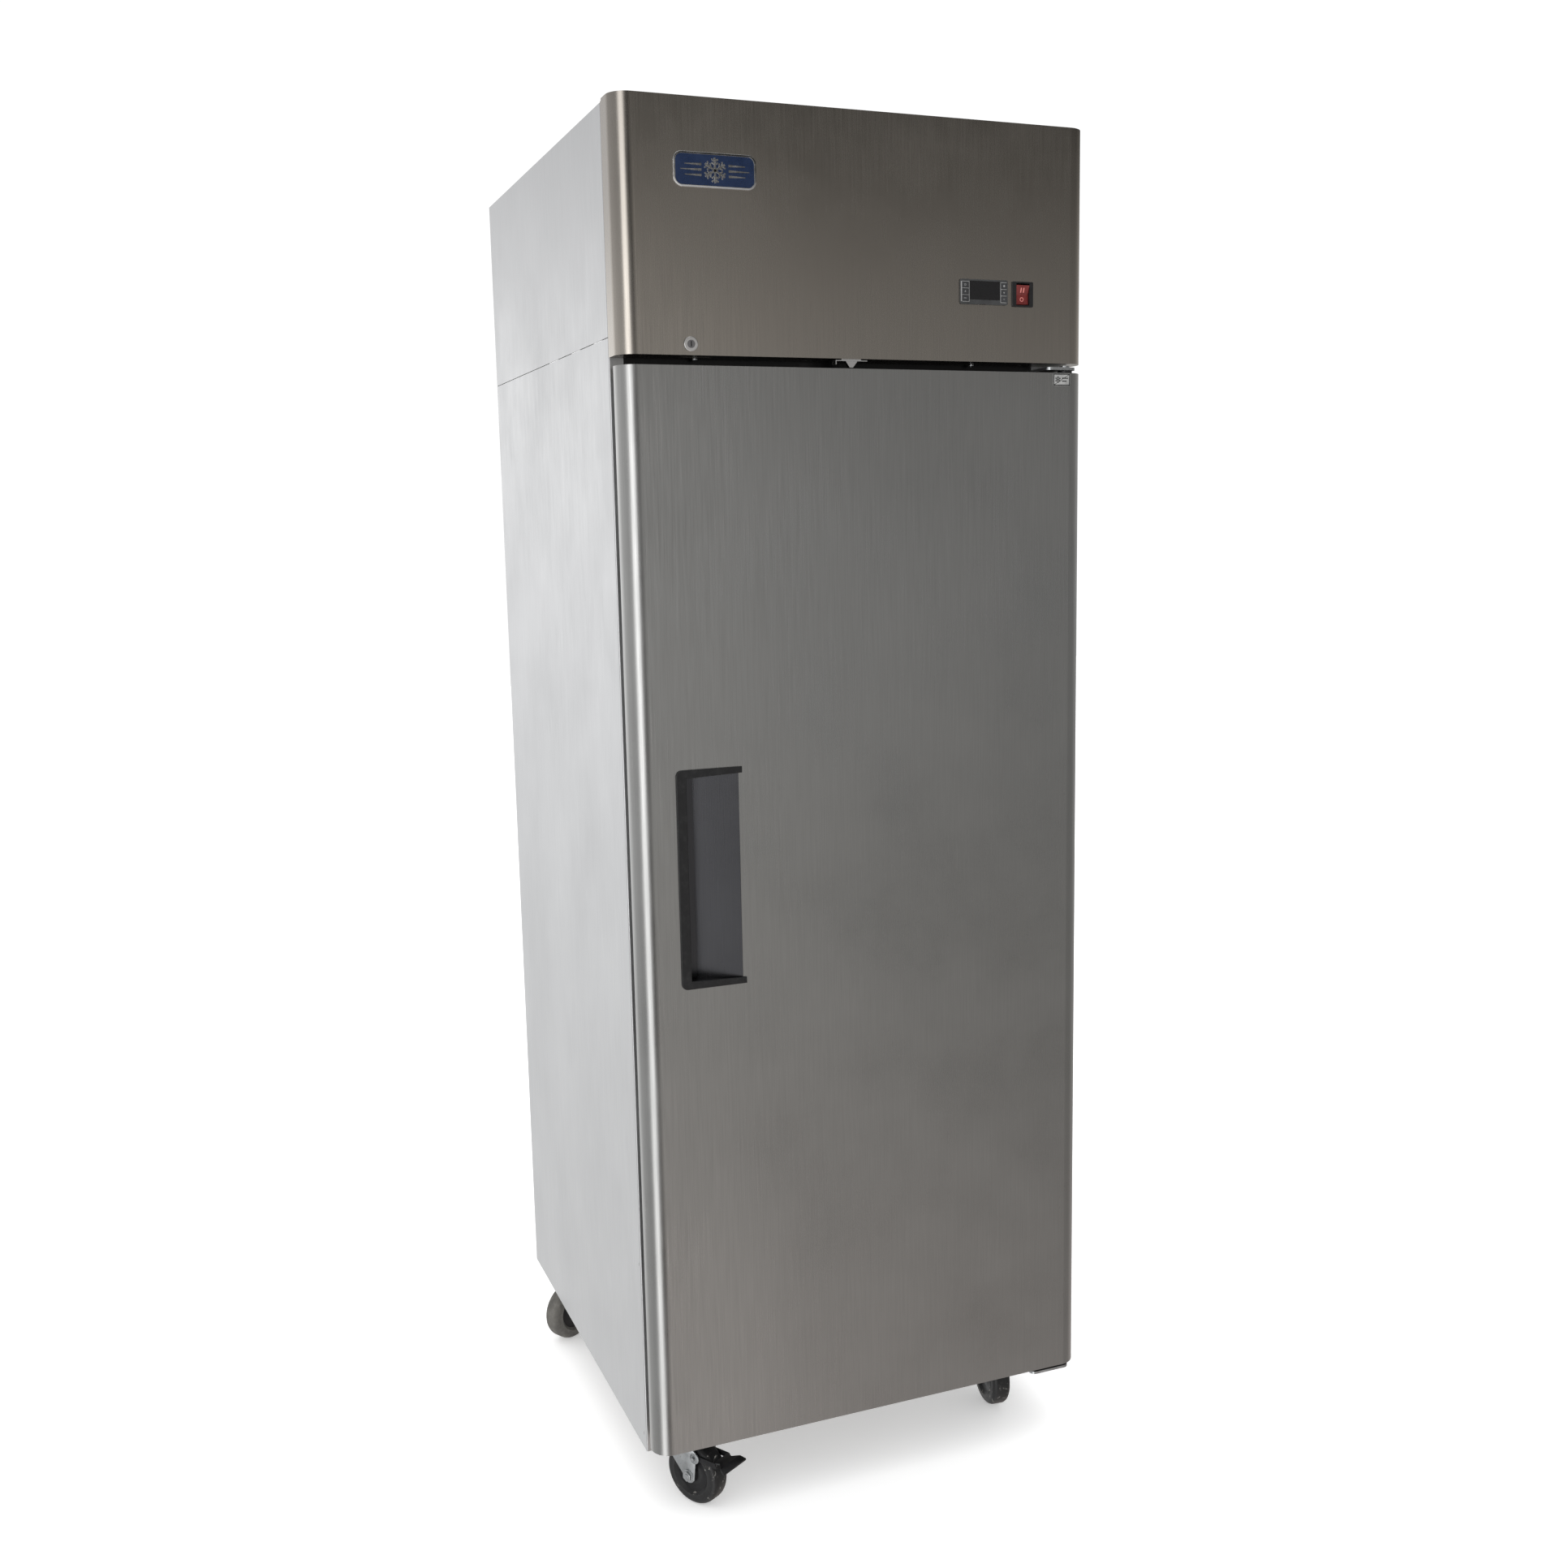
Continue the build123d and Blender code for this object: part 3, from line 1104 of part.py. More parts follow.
with BuildPart() as switch_rocker:
    tilt = radians(ROCKER_TILT)
    # sketch axes: local X points out of the panel along -Y turned by the tilt, local Y upwards
    forward = Vector(0, -cos(tilt), -sin(tilt))
    left_end = Vector(SWITCH_X - ROCKER_HALF_X, ROCKER_Y, SWITCH_Z)
    with BuildSketch(Plane(left_end, x_dir=forward, z_dir=(1, 0, 0))) as section:
        Polygon(
            (-6.0, -9.0),
            (-6.0, 9.0),
            (1.0, 14.0),
            (5.0, 14.0),
            (2.4, 0),
            (5.0, -14.0),
            (1.0, -14.0),
        )
        fillet(section.vertices().group_by(Axis.X)[-1], 0.8)
    extrude(amount=2 * ROCKER_HALF_X)
    rod(SWITCH_X, ROCKER_Y, SWITCH_Z, TRUNNION_R, 2 * well_x + 1.6, "X")
switch_rocker.part.label = "switch_rocker"
export_step(switch_rocker.part, "parts/switch_rocker.step")

# Cam lock: flanged barrel with a nut, and a turning plug that carries the cam.
PLUG_R = 5.5
BARREL_BACK_Y = -373.0
with BuildPart() as lock_body:
    rod(LOCK_X, FRONT_Y - 1.2, LOCK_Z, 10.0, 2.4)
    fillet(lock_body.faces().sort_by(Axis.Y)[0].edges(), 0.9)
    rod(LOCK_X, (FRONT_Y + BARREL_BACK_Y) / 2, LOCK_Z, BARREL_R, BARREL_BACK_Y - FRONT_Y)
    with BuildSketch(Plane.XZ.offset(-pan_front_y)):
        with Locations((LOCK_X, LOCK_Z)):
            RegularPolygon(12.0, 6)
    extrude(amount=-5.0)
    rod(LOCK_X, FRONT_Y, LOCK_Z, PLUG_R + RUNNING, 90.0, "Y", Mode.SUBTRACT)
lock_body.part.label = "lock_body"
export_step(lock_body.part, "parts/lock_body.step")

PLUG_FRONT_Y = FRONT_Y - 2.8
KEYWAY_HALF_X = 0.8
KEYWAY_HALF_Z = 3.5
KEYWAY_DEPTH = 5.0
CAM_HALF_THICK = 1.0
CAM_HALF_WIDE = 5.0
with BuildPart() as lock_plug:
    plug_back_y = CAM_Y - CAM_HALF_THICK
    rod(LOCK_X, (PLUG_FRONT_Y + plug_back_y) / 2, LOCK_Z, PLUG_R, plug_back_y - PLUG_FRONT_Y)
    block(
        LOCK_X - KEYWAY_HALF_X,
        LOCK_X + KEYWAY_HALF_X,
        PLUG_FRONT_Y,
        PLUG_FRONT_Y + KEYWAY_DEPTH,
        LOCK_Z - KEYWAY_HALF_Z,
        LOCK_Z + KEYWAY_HALF_Z,
        Mode.SUBTRACT,
    )
lock_plug_body = lock_plug.part
with BuildPart() as lock_plug_set:
    add(lock_plug_body)
    with BuildSketch(Plane.XZ.offset(-plug_back_y)) as cam:
        Polygon(
            (LOCK_X - CAM_HALF_WIDE, LOCK_Z - CAM_HALF_WIDE),
            (LOCK_X + CAM_REACH, LOCK_Z - CAM_HALF_WIDE),
            (LOCK_X + CAM_REACH, LOCK_Z + CAM_HALF_WIDE),
            (LOCK_X - CAM_HALF_WIDE, LOCK_Z + CAM_HALF_WIDE),
        )
        fillet(cam.vertices(), 4.0)
    extrude(amount=-2 * CAM_HALF_THICK)
    rod(LOCK_X, CAM_Y + CAM_HALF_THICK + 1.5, LOCK_Z, 4.0, 3.0)
lock_plug_set.part.label = "lock_plug"
export_step(lock_plug_set.part, "parts/lock_plug.step")

# Bent clip under the header: a strip with a turned-down end and a wedge-shaped stem.
with BuildPart() as door_switch_clip:
    strip_z = HEADER_BOTTOM_Z - 3.0
    block(-46.0, 3.0, -392.0, -379.0, strip_z, strip_z + 1.2)
    block(-46.0, -44.8, -392.0, -379.0, strip_z - 5.0, strip_z)
    block(-36.0, -6.0, -390.0, -382.0, strip_z + 1.2, HEADER_BOTTOM_Z)
    with BuildSketch(Plane.XZ.offset(386.0)):
        Polygon((-29.0, strip_z), (-11.0, strip_z), (-18.0, strip_z - 8.6), (-23.0, strip_z - 8.6))
    extrude(amount=3.0, both=True)
door_switch_clip.part.label = "door_switch_clip"
export_step(door_switch_clip.part, "parts/door_switch_clip.step")

# ==== Casters ==============================================================================
FORK_BRIDGE_Z = 114.0
FORK_BRIDGE = 3.0
FORK_DISC_R = 30.0
FORK_DISC_Z = 120.0
LEG_INNER = 19.0
LEG = 2.5
LEG_OUTLINE = ((-24, 117), (20, 117), (54, 90), (49.5, 52), (27, 46), (-24, 104))
LEG_FOOT_R = 12.0
PEDAL_EAR_R = 9.0
PEDAL_PIN_R = 3.0
PEDAL_ARM = 3.2
PEDAL_ARM_GAP = 0.4  # between the fork's legs and the pedal's arms
AXLE_NUT_R = 8.5
AXLE_NUT = 5.0
TYRE_EASE = 10.0
CASTER_PLATE_Z = 124.0
PLATE_HALF_X = 48.0
PLATE_HALF_Y = 36.0
SWIVEL_GAP = 0.4  # between the swivelling fork and the fixed races
RACE_R = 27.0
KINGPIN_R = 6.0
KINGPIN_NUT_R = 10.0
KINGPIN_Z0 = 107.0
BOLT_HEAD = 5.0
leg_outer = LEG_INNER + LEG


def caster_plane(x, y, degrees):
    """Floor plane at a caster's swivel axis, its local X along the way the wheel trails."""
    trailing = (cos(radians(degrees)), sin(radians(degrees)), 0)
    return Plane((x, y, 0), x_dir=trailing, z_dir=(0, 0, 1))


def across_plane(base, along, height, side=0.0):
    """Upright plane along the trail; its normal is the base plane's own -Y."""
    origin = base.origin + base.x_dir * along + base.y_dir * side + Vector(0, 0, height)
    return Plane(origin, x_dir=base.x_dir, z_dir=-base.y_dir)


with BuildPart() as caster_plates:
    for x, y, degrees in CASTERS.values():
        block(
            x - PLATE_HALF_X,
            x + PLATE_HALF_X,
            y - PLATE_HALF_Y,
            y + PLATE_HALF_Y,
            CASTER_PLATE_Z,
            BASE_Z,
        )
        race_z0 = FORK_DISC_Z + SWIVEL_GAP
        rod(x, y, (race_z0 + CASTER_PLATE_Z) / 2, RACE_R, CASTER_PLATE_Z - race_z0, "Z")
        rod(x, y, (KINGPIN_Z0 + CASTER_PLATE_Z) / 2, KINGPIN_R, CASTER_PLATE_Z - KINGPIN_Z0, "Z")
        nut_z1 = FORK_BRIDGE_Z - SWIVEL_GAP
        rod(x, y, (KINGPIN_Z0 + nut_z1) / 2, KINGPIN_NUT_R, nut_z1 - KINGPIN_Z0, "Z")
        for bolt_x in (x - 38.0, x + 38.0):
            for bolt_y in (y - 27.0, y + 27.0):
                rod(bolt_x, bolt_y, CASTER_PLATE_Z - BOLT_HEAD / 2, 6.0, BOLT_HEAD, "Z")
caster_plates.part.label = "caster_plates"
export_step(caster_plates.part, "parts/caster_plates.step")

for name, (x, y, degrees) in CASTERS.items():
    base = caster_plane(x, y, degrees)
    axle_at = base.origin + base.x_dir * TRAIL + Vector(0, 0, WHEEL_R)
    braked = name in BRAKED

    with BuildPart() as fork:
        for side in (-1, 1):
            face_y = -leg_outer if side < 0 else LEG_INNER
            with BuildSketch(across_plane(base, 0, 0, face_y + LEG)) as leg:
                Polygon(*LEG_OUTLINE)
                with Locations((TRAIL, WHEEL_R)):
                    Circle(LEG_FOOT_R)
                if braked:
                    with Locations(PEDAL_PIVOT):
                        Circle(PEDAL_EAR_R)
            extrude(amount=LEG)
        with BuildSketch(base.offset(FORK_BRIDGE_Z)):
            Rectangle(48.0, 2 * leg_outer)
            Circle(FORK_DISC_R)
        extrude(amount=FORK_BRIDGE)
        with BuildSketch(base.offset(FORK_BRIDGE_Z)):
            Circle(FORK_DISC_R)
        extrude(amount=FORK_DISC_Z - FORK_BRIDGE_Z)
        with BuildSketch(base.offset(FORK_BRIDGE_Z - 1.0)):
            Circle(KINGPIN_R + RUNNING)
        extrude(amount=20.0, mode=Mode.SUBTRACT)
        with BuildSketch(across_plane(base, TRAIL, WHEEL_R, leg_outer + 1)):
            Circle(AXLE_R)
        extrude(amount=2 * leg_outer + 2, mode=Mode.SUBTRACT)
        if braked:
            pin_length = PEDAL_ARM_GAP + PEDAL_ARM + 0.4
            for side_y in (leg_outer + pin_length, -leg_outer):
                with BuildSketch(across_plane(base, *PEDAL_PIVOT, side_y)):
                    Circle(PEDAL_PIN_R)
                extrude(amount=pin_length)
    fork_frame = fork.part
    with BuildPart() as fork_set:
        add(fork_frame)
        with BuildSketch(across_plane(base, TRAIL, WHEEL_R, leg_outer)):
            Circle(AXLE_R)
        extrude(amount=2 * leg_outer)
        for side_y in (leg_outer + AXLE_NUT, -leg_outer):
            with BuildSketch(across_plane(base, TRAIL, WHEEL_R, side_y)):
                RegularPolygon(AXLE_NUT_R, 6)
            extrude(amount=AXLE_NUT)
    fork_set.part.label = f"caster_fork_{name}"
    export_step(fork_set.part, f"parts/caster_fork_{name}.step")

    with BuildPart() as wheel:
        section_plane = Plane(axle_at, x_dir=base.y_dir, z_dir=base.x_dir)
        with BuildSketch(section_plane) as half_section:
            Polygon(
                (-18.0, AXLE_R + RUNNING),
                (-18.0, 14.0),
                (-12.0, 15.0),
                (-12.0, 31.0),
                (-WHEEL_HALF, 34.0),
                (-WHEEL_HALF, WHEEL_R),
                (WHEEL_HALF, WHEEL_R),
                (WHEEL_HALF, 34.0),
                (12.0, 31.0),
                (12.0, 15.0),
                (18.0, 14.0),
                (18.0, AXLE_R + RUNNING),
            )
            fillet(vertex_near(half_section, -WHEEL_HALF, WHEEL_R), TYRE_EASE)
            fillet(vertex_near(half_section, WHEEL_HALF, WHEEL_R), TYRE_EASE)
        revolve(axis=Axis(axle_at, base.y_dir))
    wheel.part.label = f"caster_wheel_{name}"
    export_step(wheel.part, f"parts/caster_wheel_{name}.step")

    if braked:
        with BuildPart() as pedal:
            arm_inner = leg_outer + PEDAL_ARM_GAP
            arm_outer = arm_inner + PEDAL_ARM
            for side_y in (arm_outer, -arm_inner):
                with BuildSketch(across_plane(base, 0, 0, side_y)):
                    Polygon((42, 77), (42, 87), (92, 86), (92, 77))
                extrude(amount=PEDAL_ARM)
            with BuildSketch(base.offset(77.0)):
                Polygon(
                    (90, -arm_outer),
                    (90, arm_outer),
                    (104, 30),
                    (114, 27),
                    (114, -27),
                    (104, -30),
                )
            extrude(amount=9.0)
            wedge = across_plane(base, 0, 0, 40.0)
            with BuildSketch(wedge):
                Polygon((96, 86.1), (120, 86.1), (120, 79))
            extrude(amount=80.0, mode=Mode.SUBTRACT)
            with BuildSketch(wedge):
                Polygon((96, 76.9), (120, 76.9), (120, 75))
            extrude(amount=80.0, mode=Mode.SUBTRACT)
            with BuildSketch(across_plane(base, *PEDAL_PIVOT, 40.0)):
                Circle(PEDAL_PIN_R + RUNNING)
            extrude(amount=80.0, mode=Mode.SUBTRACT)
        pedal.part.label = f"brake_pedal_{name}"
        export_step(pedal.part, f"parts/brake_pedal_{name}.step")
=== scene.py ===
"""Looks for a reach-in cabinet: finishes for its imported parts, finer pieces and a small studio."""

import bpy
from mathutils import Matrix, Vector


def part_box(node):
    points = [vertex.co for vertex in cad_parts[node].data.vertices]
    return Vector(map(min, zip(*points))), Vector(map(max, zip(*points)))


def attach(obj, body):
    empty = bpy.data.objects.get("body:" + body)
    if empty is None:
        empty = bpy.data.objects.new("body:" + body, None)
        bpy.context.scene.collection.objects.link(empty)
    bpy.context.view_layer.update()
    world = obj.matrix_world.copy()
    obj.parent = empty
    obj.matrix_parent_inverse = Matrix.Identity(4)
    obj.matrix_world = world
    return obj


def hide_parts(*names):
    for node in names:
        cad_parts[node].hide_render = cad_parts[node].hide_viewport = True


bl_info = {
    "name": "Reach-In Cabinet Looks",
    "version": (1, 0, 0),
    "blender": (4, 5, 0),
    "location": "3D View > Sidebar > Cabinet",
    "description": "Finishes and fine pieces of a reach-in refrigeration cabinet",
    "category": "Object",
}

from contextlib import contextmanager
from math import cos, pi, radians, sin

import bmesh
import bpy
from bpy.props import FloatProperty, FloatVectorProperty, IntProperty, PointerProperty
from mathutils import Matrix, Vector

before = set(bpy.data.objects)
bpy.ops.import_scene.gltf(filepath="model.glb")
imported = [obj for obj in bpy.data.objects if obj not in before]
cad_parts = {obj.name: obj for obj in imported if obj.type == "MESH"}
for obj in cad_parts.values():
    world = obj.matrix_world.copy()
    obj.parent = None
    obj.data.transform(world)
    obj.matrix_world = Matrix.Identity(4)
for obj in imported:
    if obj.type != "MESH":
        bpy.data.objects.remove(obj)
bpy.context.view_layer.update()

MM = 0.001
SMOOTH_ANGLE = radians(38)
SQUARE = 0.99  # a face looks along an axis when its normal reaches this far along it
BLACK = (0.0, 0.0, 0.0, 1.0)


# ---- Finishes ---------------------------------------------------------------------------------
def opaque(colour, factor=1.0):
    """A colour times a factor, with full alpha."""
    return (*(min(1.0, channel * factor) for channel in colour), 1.0)


class Nodes:
    """Adds nodes to a tree and wires them up."""

    def __init__(self, tree):
        self.tree = tree

    def feed(self, source, target):
        """Links a socket to the target, or puts a plain value on it."""
        if isinstance(source, bpy.types.NodeSocket):
            self.tree.links.new(source, target)
        else:
            target.default_value = source

    def node(self, kind, values=(), **settings):
        """A node with its settings, and with values or sockets on its named inputs."""
        made = self.tree.nodes.new(kind)
        for key, value in settings.items():
            setattr(made, key, value)
        for name, value in dict(values).items():
            self.feed(value, made.inputs[name])
        return made

    def math(self, operation, *values, kind="ShaderNodeMath"):
        total, *rest = values
        for value in rest:
            total = self.node(kind, {0: total, 1: value}, operation=operation).outputs[0]
        return total

    def sum(self, *values):
        return self.math("ADD", *values)

    def product(self, *values):
        return self.math("MULTIPLY", *values)

    def remap(self, value, low, high, start=0.3, end=0.7):
        """Value from start to end becomes low to high, and is held beyond them."""
        spans = {"From Min": start, "From Max": end, "To Min": low, "To Max": high}
        return self.node("ShaderNodeMapRange", {"Value": value, **spans}).outputs["Result"]


class Finish(Nodes):
    """A Principled material whose patterns lie on Object coordinates."""

    def __init__(self, name, colour, roughness, **constants):
        self.material = bpy.data.materials.new(name)
        self.material.use_nodes = True
        super().__init__(self.material.node_tree)
        self.shader = self.tree.nodes["Principled BSDF"]
        self.colour = tuple(colour)
        constants.update(base_color=opaque(colour), roughness=roughness)
        for socket, value in constants.items():
            self.shader.inputs[socket.replace("_", " ").title()].default_value = value
        self.place = self.node("ShaderNodeTexCoord").outputs["Object"]

    def noise(self, scale, stretch=(1, 1, 1), detail=3.0, rough=0.5, warp=0.0):
        """Noise with that many cells a metre, drawn out along the axes where stretch is small."""
        mapping = self.node("ShaderNodeMapping", {"Scale": stretch, "Vector": self.place})
        settings = {"Scale": scale, "Detail": detail, "Roughness": rough, "Distortion": warp}
        settings["Vector"] = mapping.outputs["Vector"]
        return self.node("ShaderNodeTexNoise", settings).outputs["Fac"]

    def cells(self, scale):
        place = {"Vector": self.place, "Scale": scale}
        return self.node("ShaderNodeTexVoronoi", place).outputs["Distance"]

    def between(self, factor, first, second):
        """A colour that goes from first to second with the factor; either may be a socket."""
        mix = self.node("ShaderNodeMix", {"Factor": factor}, data_type="RGBA")
        for name, colour in (("A", first), ("B", second)):
            self.feed(colour, next(s for s in mix.inputs if s.name == name and s.type == "RGBA"))
        return next(s for s in mix.outputs if s.type == "RGBA")

    def shade(self, factor):
        return opaque(self.colour, factor)

    def mottled(self, pattern, dark, pale):
        """The finish's colour, from dark to pale times itself with the pattern."""
        return self.between(self.remap(pattern, 0.0, 1.0), self.shade(dark), self.shade(pale))

    def wear(self, colour, rough=None, height=None, strength=0.0, depth=0.0):
        """Puts the patterns on the shader; the bump's depth is in mm."""
        self.feed(colour, self.shader.inputs["Base Color"])
        if rough:
            self.feed(rough, self.shader.inputs["Roughness"])
        if height:
            bump = {"Strength": strength, "Distance": depth * MM, "Height": height}
            normal = self.node("ShaderNodeBump", bump).outputs["Normal"]
            self.feed(normal, self.shader.inputs["Normal"])


def brushed_metal(name, colour, roughness, along="Z", contrast=0.1, smudge=0.12, depth=0.1):
    """Satin sheet: fine grain drawn out along one axis, hand smudges and a few long scratches."""
    finish = Finish(name, colour, roughness, metallic=1.0)

    def drawn(short):
        return [short if axis == along else 1.0 for axis in "XYZ"]

    grain = finish.noise(1100, drawn(0.012), detail=2.0)
    cloth = finish.noise(5.5, detail=5.0, rough=0.6)
    patch = finish.noise(1.7, detail=2.0, warp=0.8)
    scratch = finish.remap(finish.noise(170, drawn(0.05), detail=6.0), 0.0, 1.0, 0.7, 0.78)
    wiped = finish.mottled(cloth, 1 - smudge, 1)
    toned = finish.between(finish.remap(patch, 0.0, 0.55), wiped, finish.shade(1 + smudge))
    lines = finish.between(finish.remap(grain, 0.0, contrast, 0.25, 0.75), toned, BLACK)
    rough = finish.sum(
        finish.remap(grain, -0.04, 0.05, 0.25, 0.75),
        finish.remap(cloth, roughness - 0.04, roughness + 0.05),
        finish.product(scratch, 0.04),
    )
    scratched = finish.between(finish.product(scratch, 0.25), lines, finish.shade(1.35))
    finish.wear(scratched, rough, finish.sum(grain, finish.product(cloth, 0.6)), depth, 0.15)


def zinc_plate(name, colour):
    """Zinc-plated steel: pale blotches, dull spots and a faint grain."""
    finish = Finish(name, colour, 0.38, metallic=1.0)
    blotch = finish.noise(60, detail=4.0, rough=0.6)
    spots = finish.remap(finish.noise(420, detail=2.0), 0.0, 1.0, 0.6, 0.72)
    toned = finish.mottled(blotch, 0.78, 1.08)
    spotted = finish.between(finish.product(spots, 0.4), toned, opaque((0.3, 0.29, 0.27)))
    rough = finish.sum(finish.remap(blotch, 0.3, 0.48), finish.product(spots, 0.15))
    finish.wear(spotted, rough, finish.noise(900, detail=2.0), 0.12, 0.1)


def bright_plate(name, colour):
    """Nickel-chrome plating with light scratches and a little haze."""
    finish = Finish(name, colour, 0.12, metallic=1.0)
    haze = finish.noise(90, detail=4.0)
    scratch = finish.remap(finish.noise(900, (1, 0.08, 1), detail=3.0), 0.0, 1.0, 0.62, 0.7)
    rough = finish.sum(finish.remap(haze, 0.08, 0.2), finish.product(scratch, 0.2))
    finish.wear(finish.mottled(haze, 0.86, 1), rough, scratch, 0.05, 0.05)


def moulded(name, colour, roughness, grain=1400, depth=0.25, dust=0.02, scuffs=0.0, **constants):
    """Moulded plastic or rubber: leather-like spark grain, rubbed patches, dust and scuffs."""
    finish = Finish(name, colour, roughness, **constants)
    pores = finish.noise(grain, detail=2.0)
    rubbed = finish.noise(38, detail=5.0, rough=0.6)
    dusty = finish.remap(finish.noise(120, detail=6.0, rough=0.7), 0.0, dust, 0.5, 0.75)
    scraped = finish.noise(55, detail=7.0, rough=0.75, warp=1.5)
    marked = finish.sum(dusty, finish.remap(scraped, 0.0, scuffs, 0.6, 0.66))
    toned = finish.between(marked, finish.mottled(rubbed, 0.75, 1.35), opaque((0.45, 0.43, 0.4)))
    rough = finish.sum(finish.remap(rubbed, roughness - 0.08, roughness + 0.08), marked)
    finish.wear(toned, rough, pores, depth, 0.12)


def foamed(name, colour):
    """Rigid foam: fine open cells and yellowed skin."""
    finish = Finish(name, colour, 0.85)
    cell = finish.cells(1300)
    aged = finish.mottled(finish.noise(9, detail=4.0), 0.72, 1)
    pitted = finish.between(finish.remap(cell, 0.25, 0.0, 0.1, 0.5), aged, finish.shade(0.5))
    finish.wear(pitted, None, cell, 0.5, 0.4)


def enamelled(name, colour, roughness):
    """Glossy baked enamel with a slight orange peel."""
    finish = Finish(name, colour, roughness, coat_weight=0.6, coat_roughness=0.08)
    peel = finish.noise(500, detail=1.0)
    worn = finish.noise(45, detail=6.0, rough=0.7)
    rough = finish.remap(worn, roughness - 0.05, roughness + 0.12)
    finish.wear(finish.mottled(worn, 0.8, 1.2), rough, peel, 0.06, 0.1)


def pulled_copper(name, colour):
    """Drawn copper tube with brown tarnish."""
    finish = Finish(name, colour, 0.3, metallic=1.0)
    tarnish = finish.noise(55, detail=5.0, rough=0.65)
    rough = finish.remap(tarnish, 0.5, 0.25)
    finish.wear(finish.mottled(tarnish, 0.45, 1), rough, finish.noise(800, detail=2.0), 0.08, 0.1)


def make_finishes(tones):
    """Every finish, named after the record's slot or as a variation on one."""
    brushed_metal("stainless", tones.front_steel, 0.3)
    brushed_metal("side_steel", tones.side_steel, 0.42, "Z", 0.05, 0.05, 0.05)
    brushed_metal("header_steel", tones.header_steel, 0.24, "Z", 0.04, 0.07, 0.04)
    # handle recess: steel darkened as painted shade
    brushed_metal("recess_painted_shade_steel", tones.recess_painted_shade_steel, 0.3)
    # face frame: near-black steel, painted shade in the gap between header and door
    brushed_metal("frame_painted_shade_steel", (0.035, 0.035, 0.035), 0.35, "Z", 0.05, 0.08)
    brushed_metal("liner_steel", tones.side_steel, 0.36, "Z", 0.06, 0.08)
    brushed_metal("aluminium", (0.78, 0.79, 0.8), 0.4, "X", 0.06, 0.08)
    zinc_plate("galvanised", tones.zinc)
    bright_plate("chromed", (0.8, 0.8, 0.8))
    # lock plug: plating darkened as painted shade
    bright_plate("plug_painted_shade_plate", (0.3, 0.3, 0.31))
    foamed("foam", (0.84, 0.76, 0.52))
    pulled_copper("copper", (0.78, 0.4, 0.24))
    # through its slot this black also goes on the header rail, where it is painted shade for the
    # dark gap between header and door
    enamelled("black_enamel", (0.02, 0.02, 0.022), 0.35)
    enamelled("display_window", (0.003, 0.003, 0.004), 0.12)
    enamelled("badge_enamel", tones.badge_blue, 0.25)
    moulded("black_plastic", tones.black_plastic, 0.42)
    moulded("grey_plastic", (0.035, 0.036, 0.037), 0.45)
    moulded("pale_plastic", (0.2, 0.2, 0.2), 0.4)
    moulded("key_plastic", (0.028, 0.029, 0.031), 0.5)
    moulded("red_plastic", tones.rocker_red, 0.3, depth=0.08, coat_weight=0.3)
    moulded("rocker_print", (0.5, 0.16, 0.14), 0.4, depth=0.05)
    moulded("label_film", (0.24, 0.24, 0.235), 0.55, depth=0.1, dust=0.1)
    moulded("label_ink", (0.02, 0.02, 0.02), 0.5, depth=0.1)
    moulded("gasket_vinyl", (0.16, 0.16, 0.165), 0.6)
    moulded("wheel_rubber", tones.tyre, 0.5, grain=700, depth=0.3, scuffs=0.8)
    moulded("dusty_rubber", (0.11, 0.105, 0.095), 0.75, grain=700, dust=0.2)


# ---- Tools for modelling ----------------------------------------------------------------------
def only(*pieces):
    """Selects these pieces and nothing else; the last is active."""
    bpy.ops.object.select_all(action="DESELECT")
    for piece in pieces:
        piece.select_set(True)
    bpy.context.view_layer.objects.active = pieces[-1]


@contextmanager
def editing(piece, action="DESELECT"):
    """Edit mode on one piece with nothing selected, or with all of it for action SELECT."""
    only(piece)
    bpy.ops.object.mode_set(mode="EDIT")
    bpy.ops.mesh.select_mode(type="FACE")
    bpy.ops.mesh.select_all(action=action)
    yield
    bpy.ops.object.mode_set(mode="OBJECT")


def facing(axis, way, limit=SQUARE):
    """A test for faces that look along an axis: way is 1, -1, or 0 for both."""
    index = "XYZ".index(axis)
    return lambda c, n: (way * n[index] if way else abs(n[index])) > limit


FRONT = facing("Y", -1)
ENDS = facing("Y", 0)
TOP = facing("Z", 1)
UNDER = facing("Z", -1)


def pick(piece, test, kind="FACE"):
    """In edit mode, selects what test accepts: a face by middle and normal, an edge by its two
    ends, a vertex by its place."""
    bpy.ops.mesh.select_all(action="DESELECT")
    bpy.ops.mesh.select_mode(type=kind)
    mesh = bmesh.from_edit_mesh(piece.data)
    if kind == "FACE":
        facts = [(face, face.calc_center_median(), face.normal) for face in mesh.faces]
    elif kind == "EDGE":
        facts = [(edge, edge.verts[0].co, edge.verts[1].co) for edge in mesh.edges]
    else:
        facts = [(vertex, vertex.co) for vertex in mesh.verts]
    found = [member for member, *shape in facts if test(*shape)]
    if not found:
        raise RuntimeError(f"nothing to pick on {piece.name}")
    for member in found:
        member.select_set(True)
    bmesh.update_edit_mesh(piece.data)


def settle(piece):
    """Puts a piece's place, turn and size into its mesh."""
    only(piece)
    bpy.ops.object.transform_apply(location=True, rotation=True, scale=True)
    return piece


def start_block(name, low, high):
    low, high = Vector(low), Vector(high)
    bpy.ops.object.select_all(action="DESELECT")
    bpy.ops.mesh.primitive_cube_add(size=1, location=(low + high) / 2)
    piece = bpy.context.object
    piece.name = piece.data.name = name
    piece.scale = high - low
    return settle(piece)


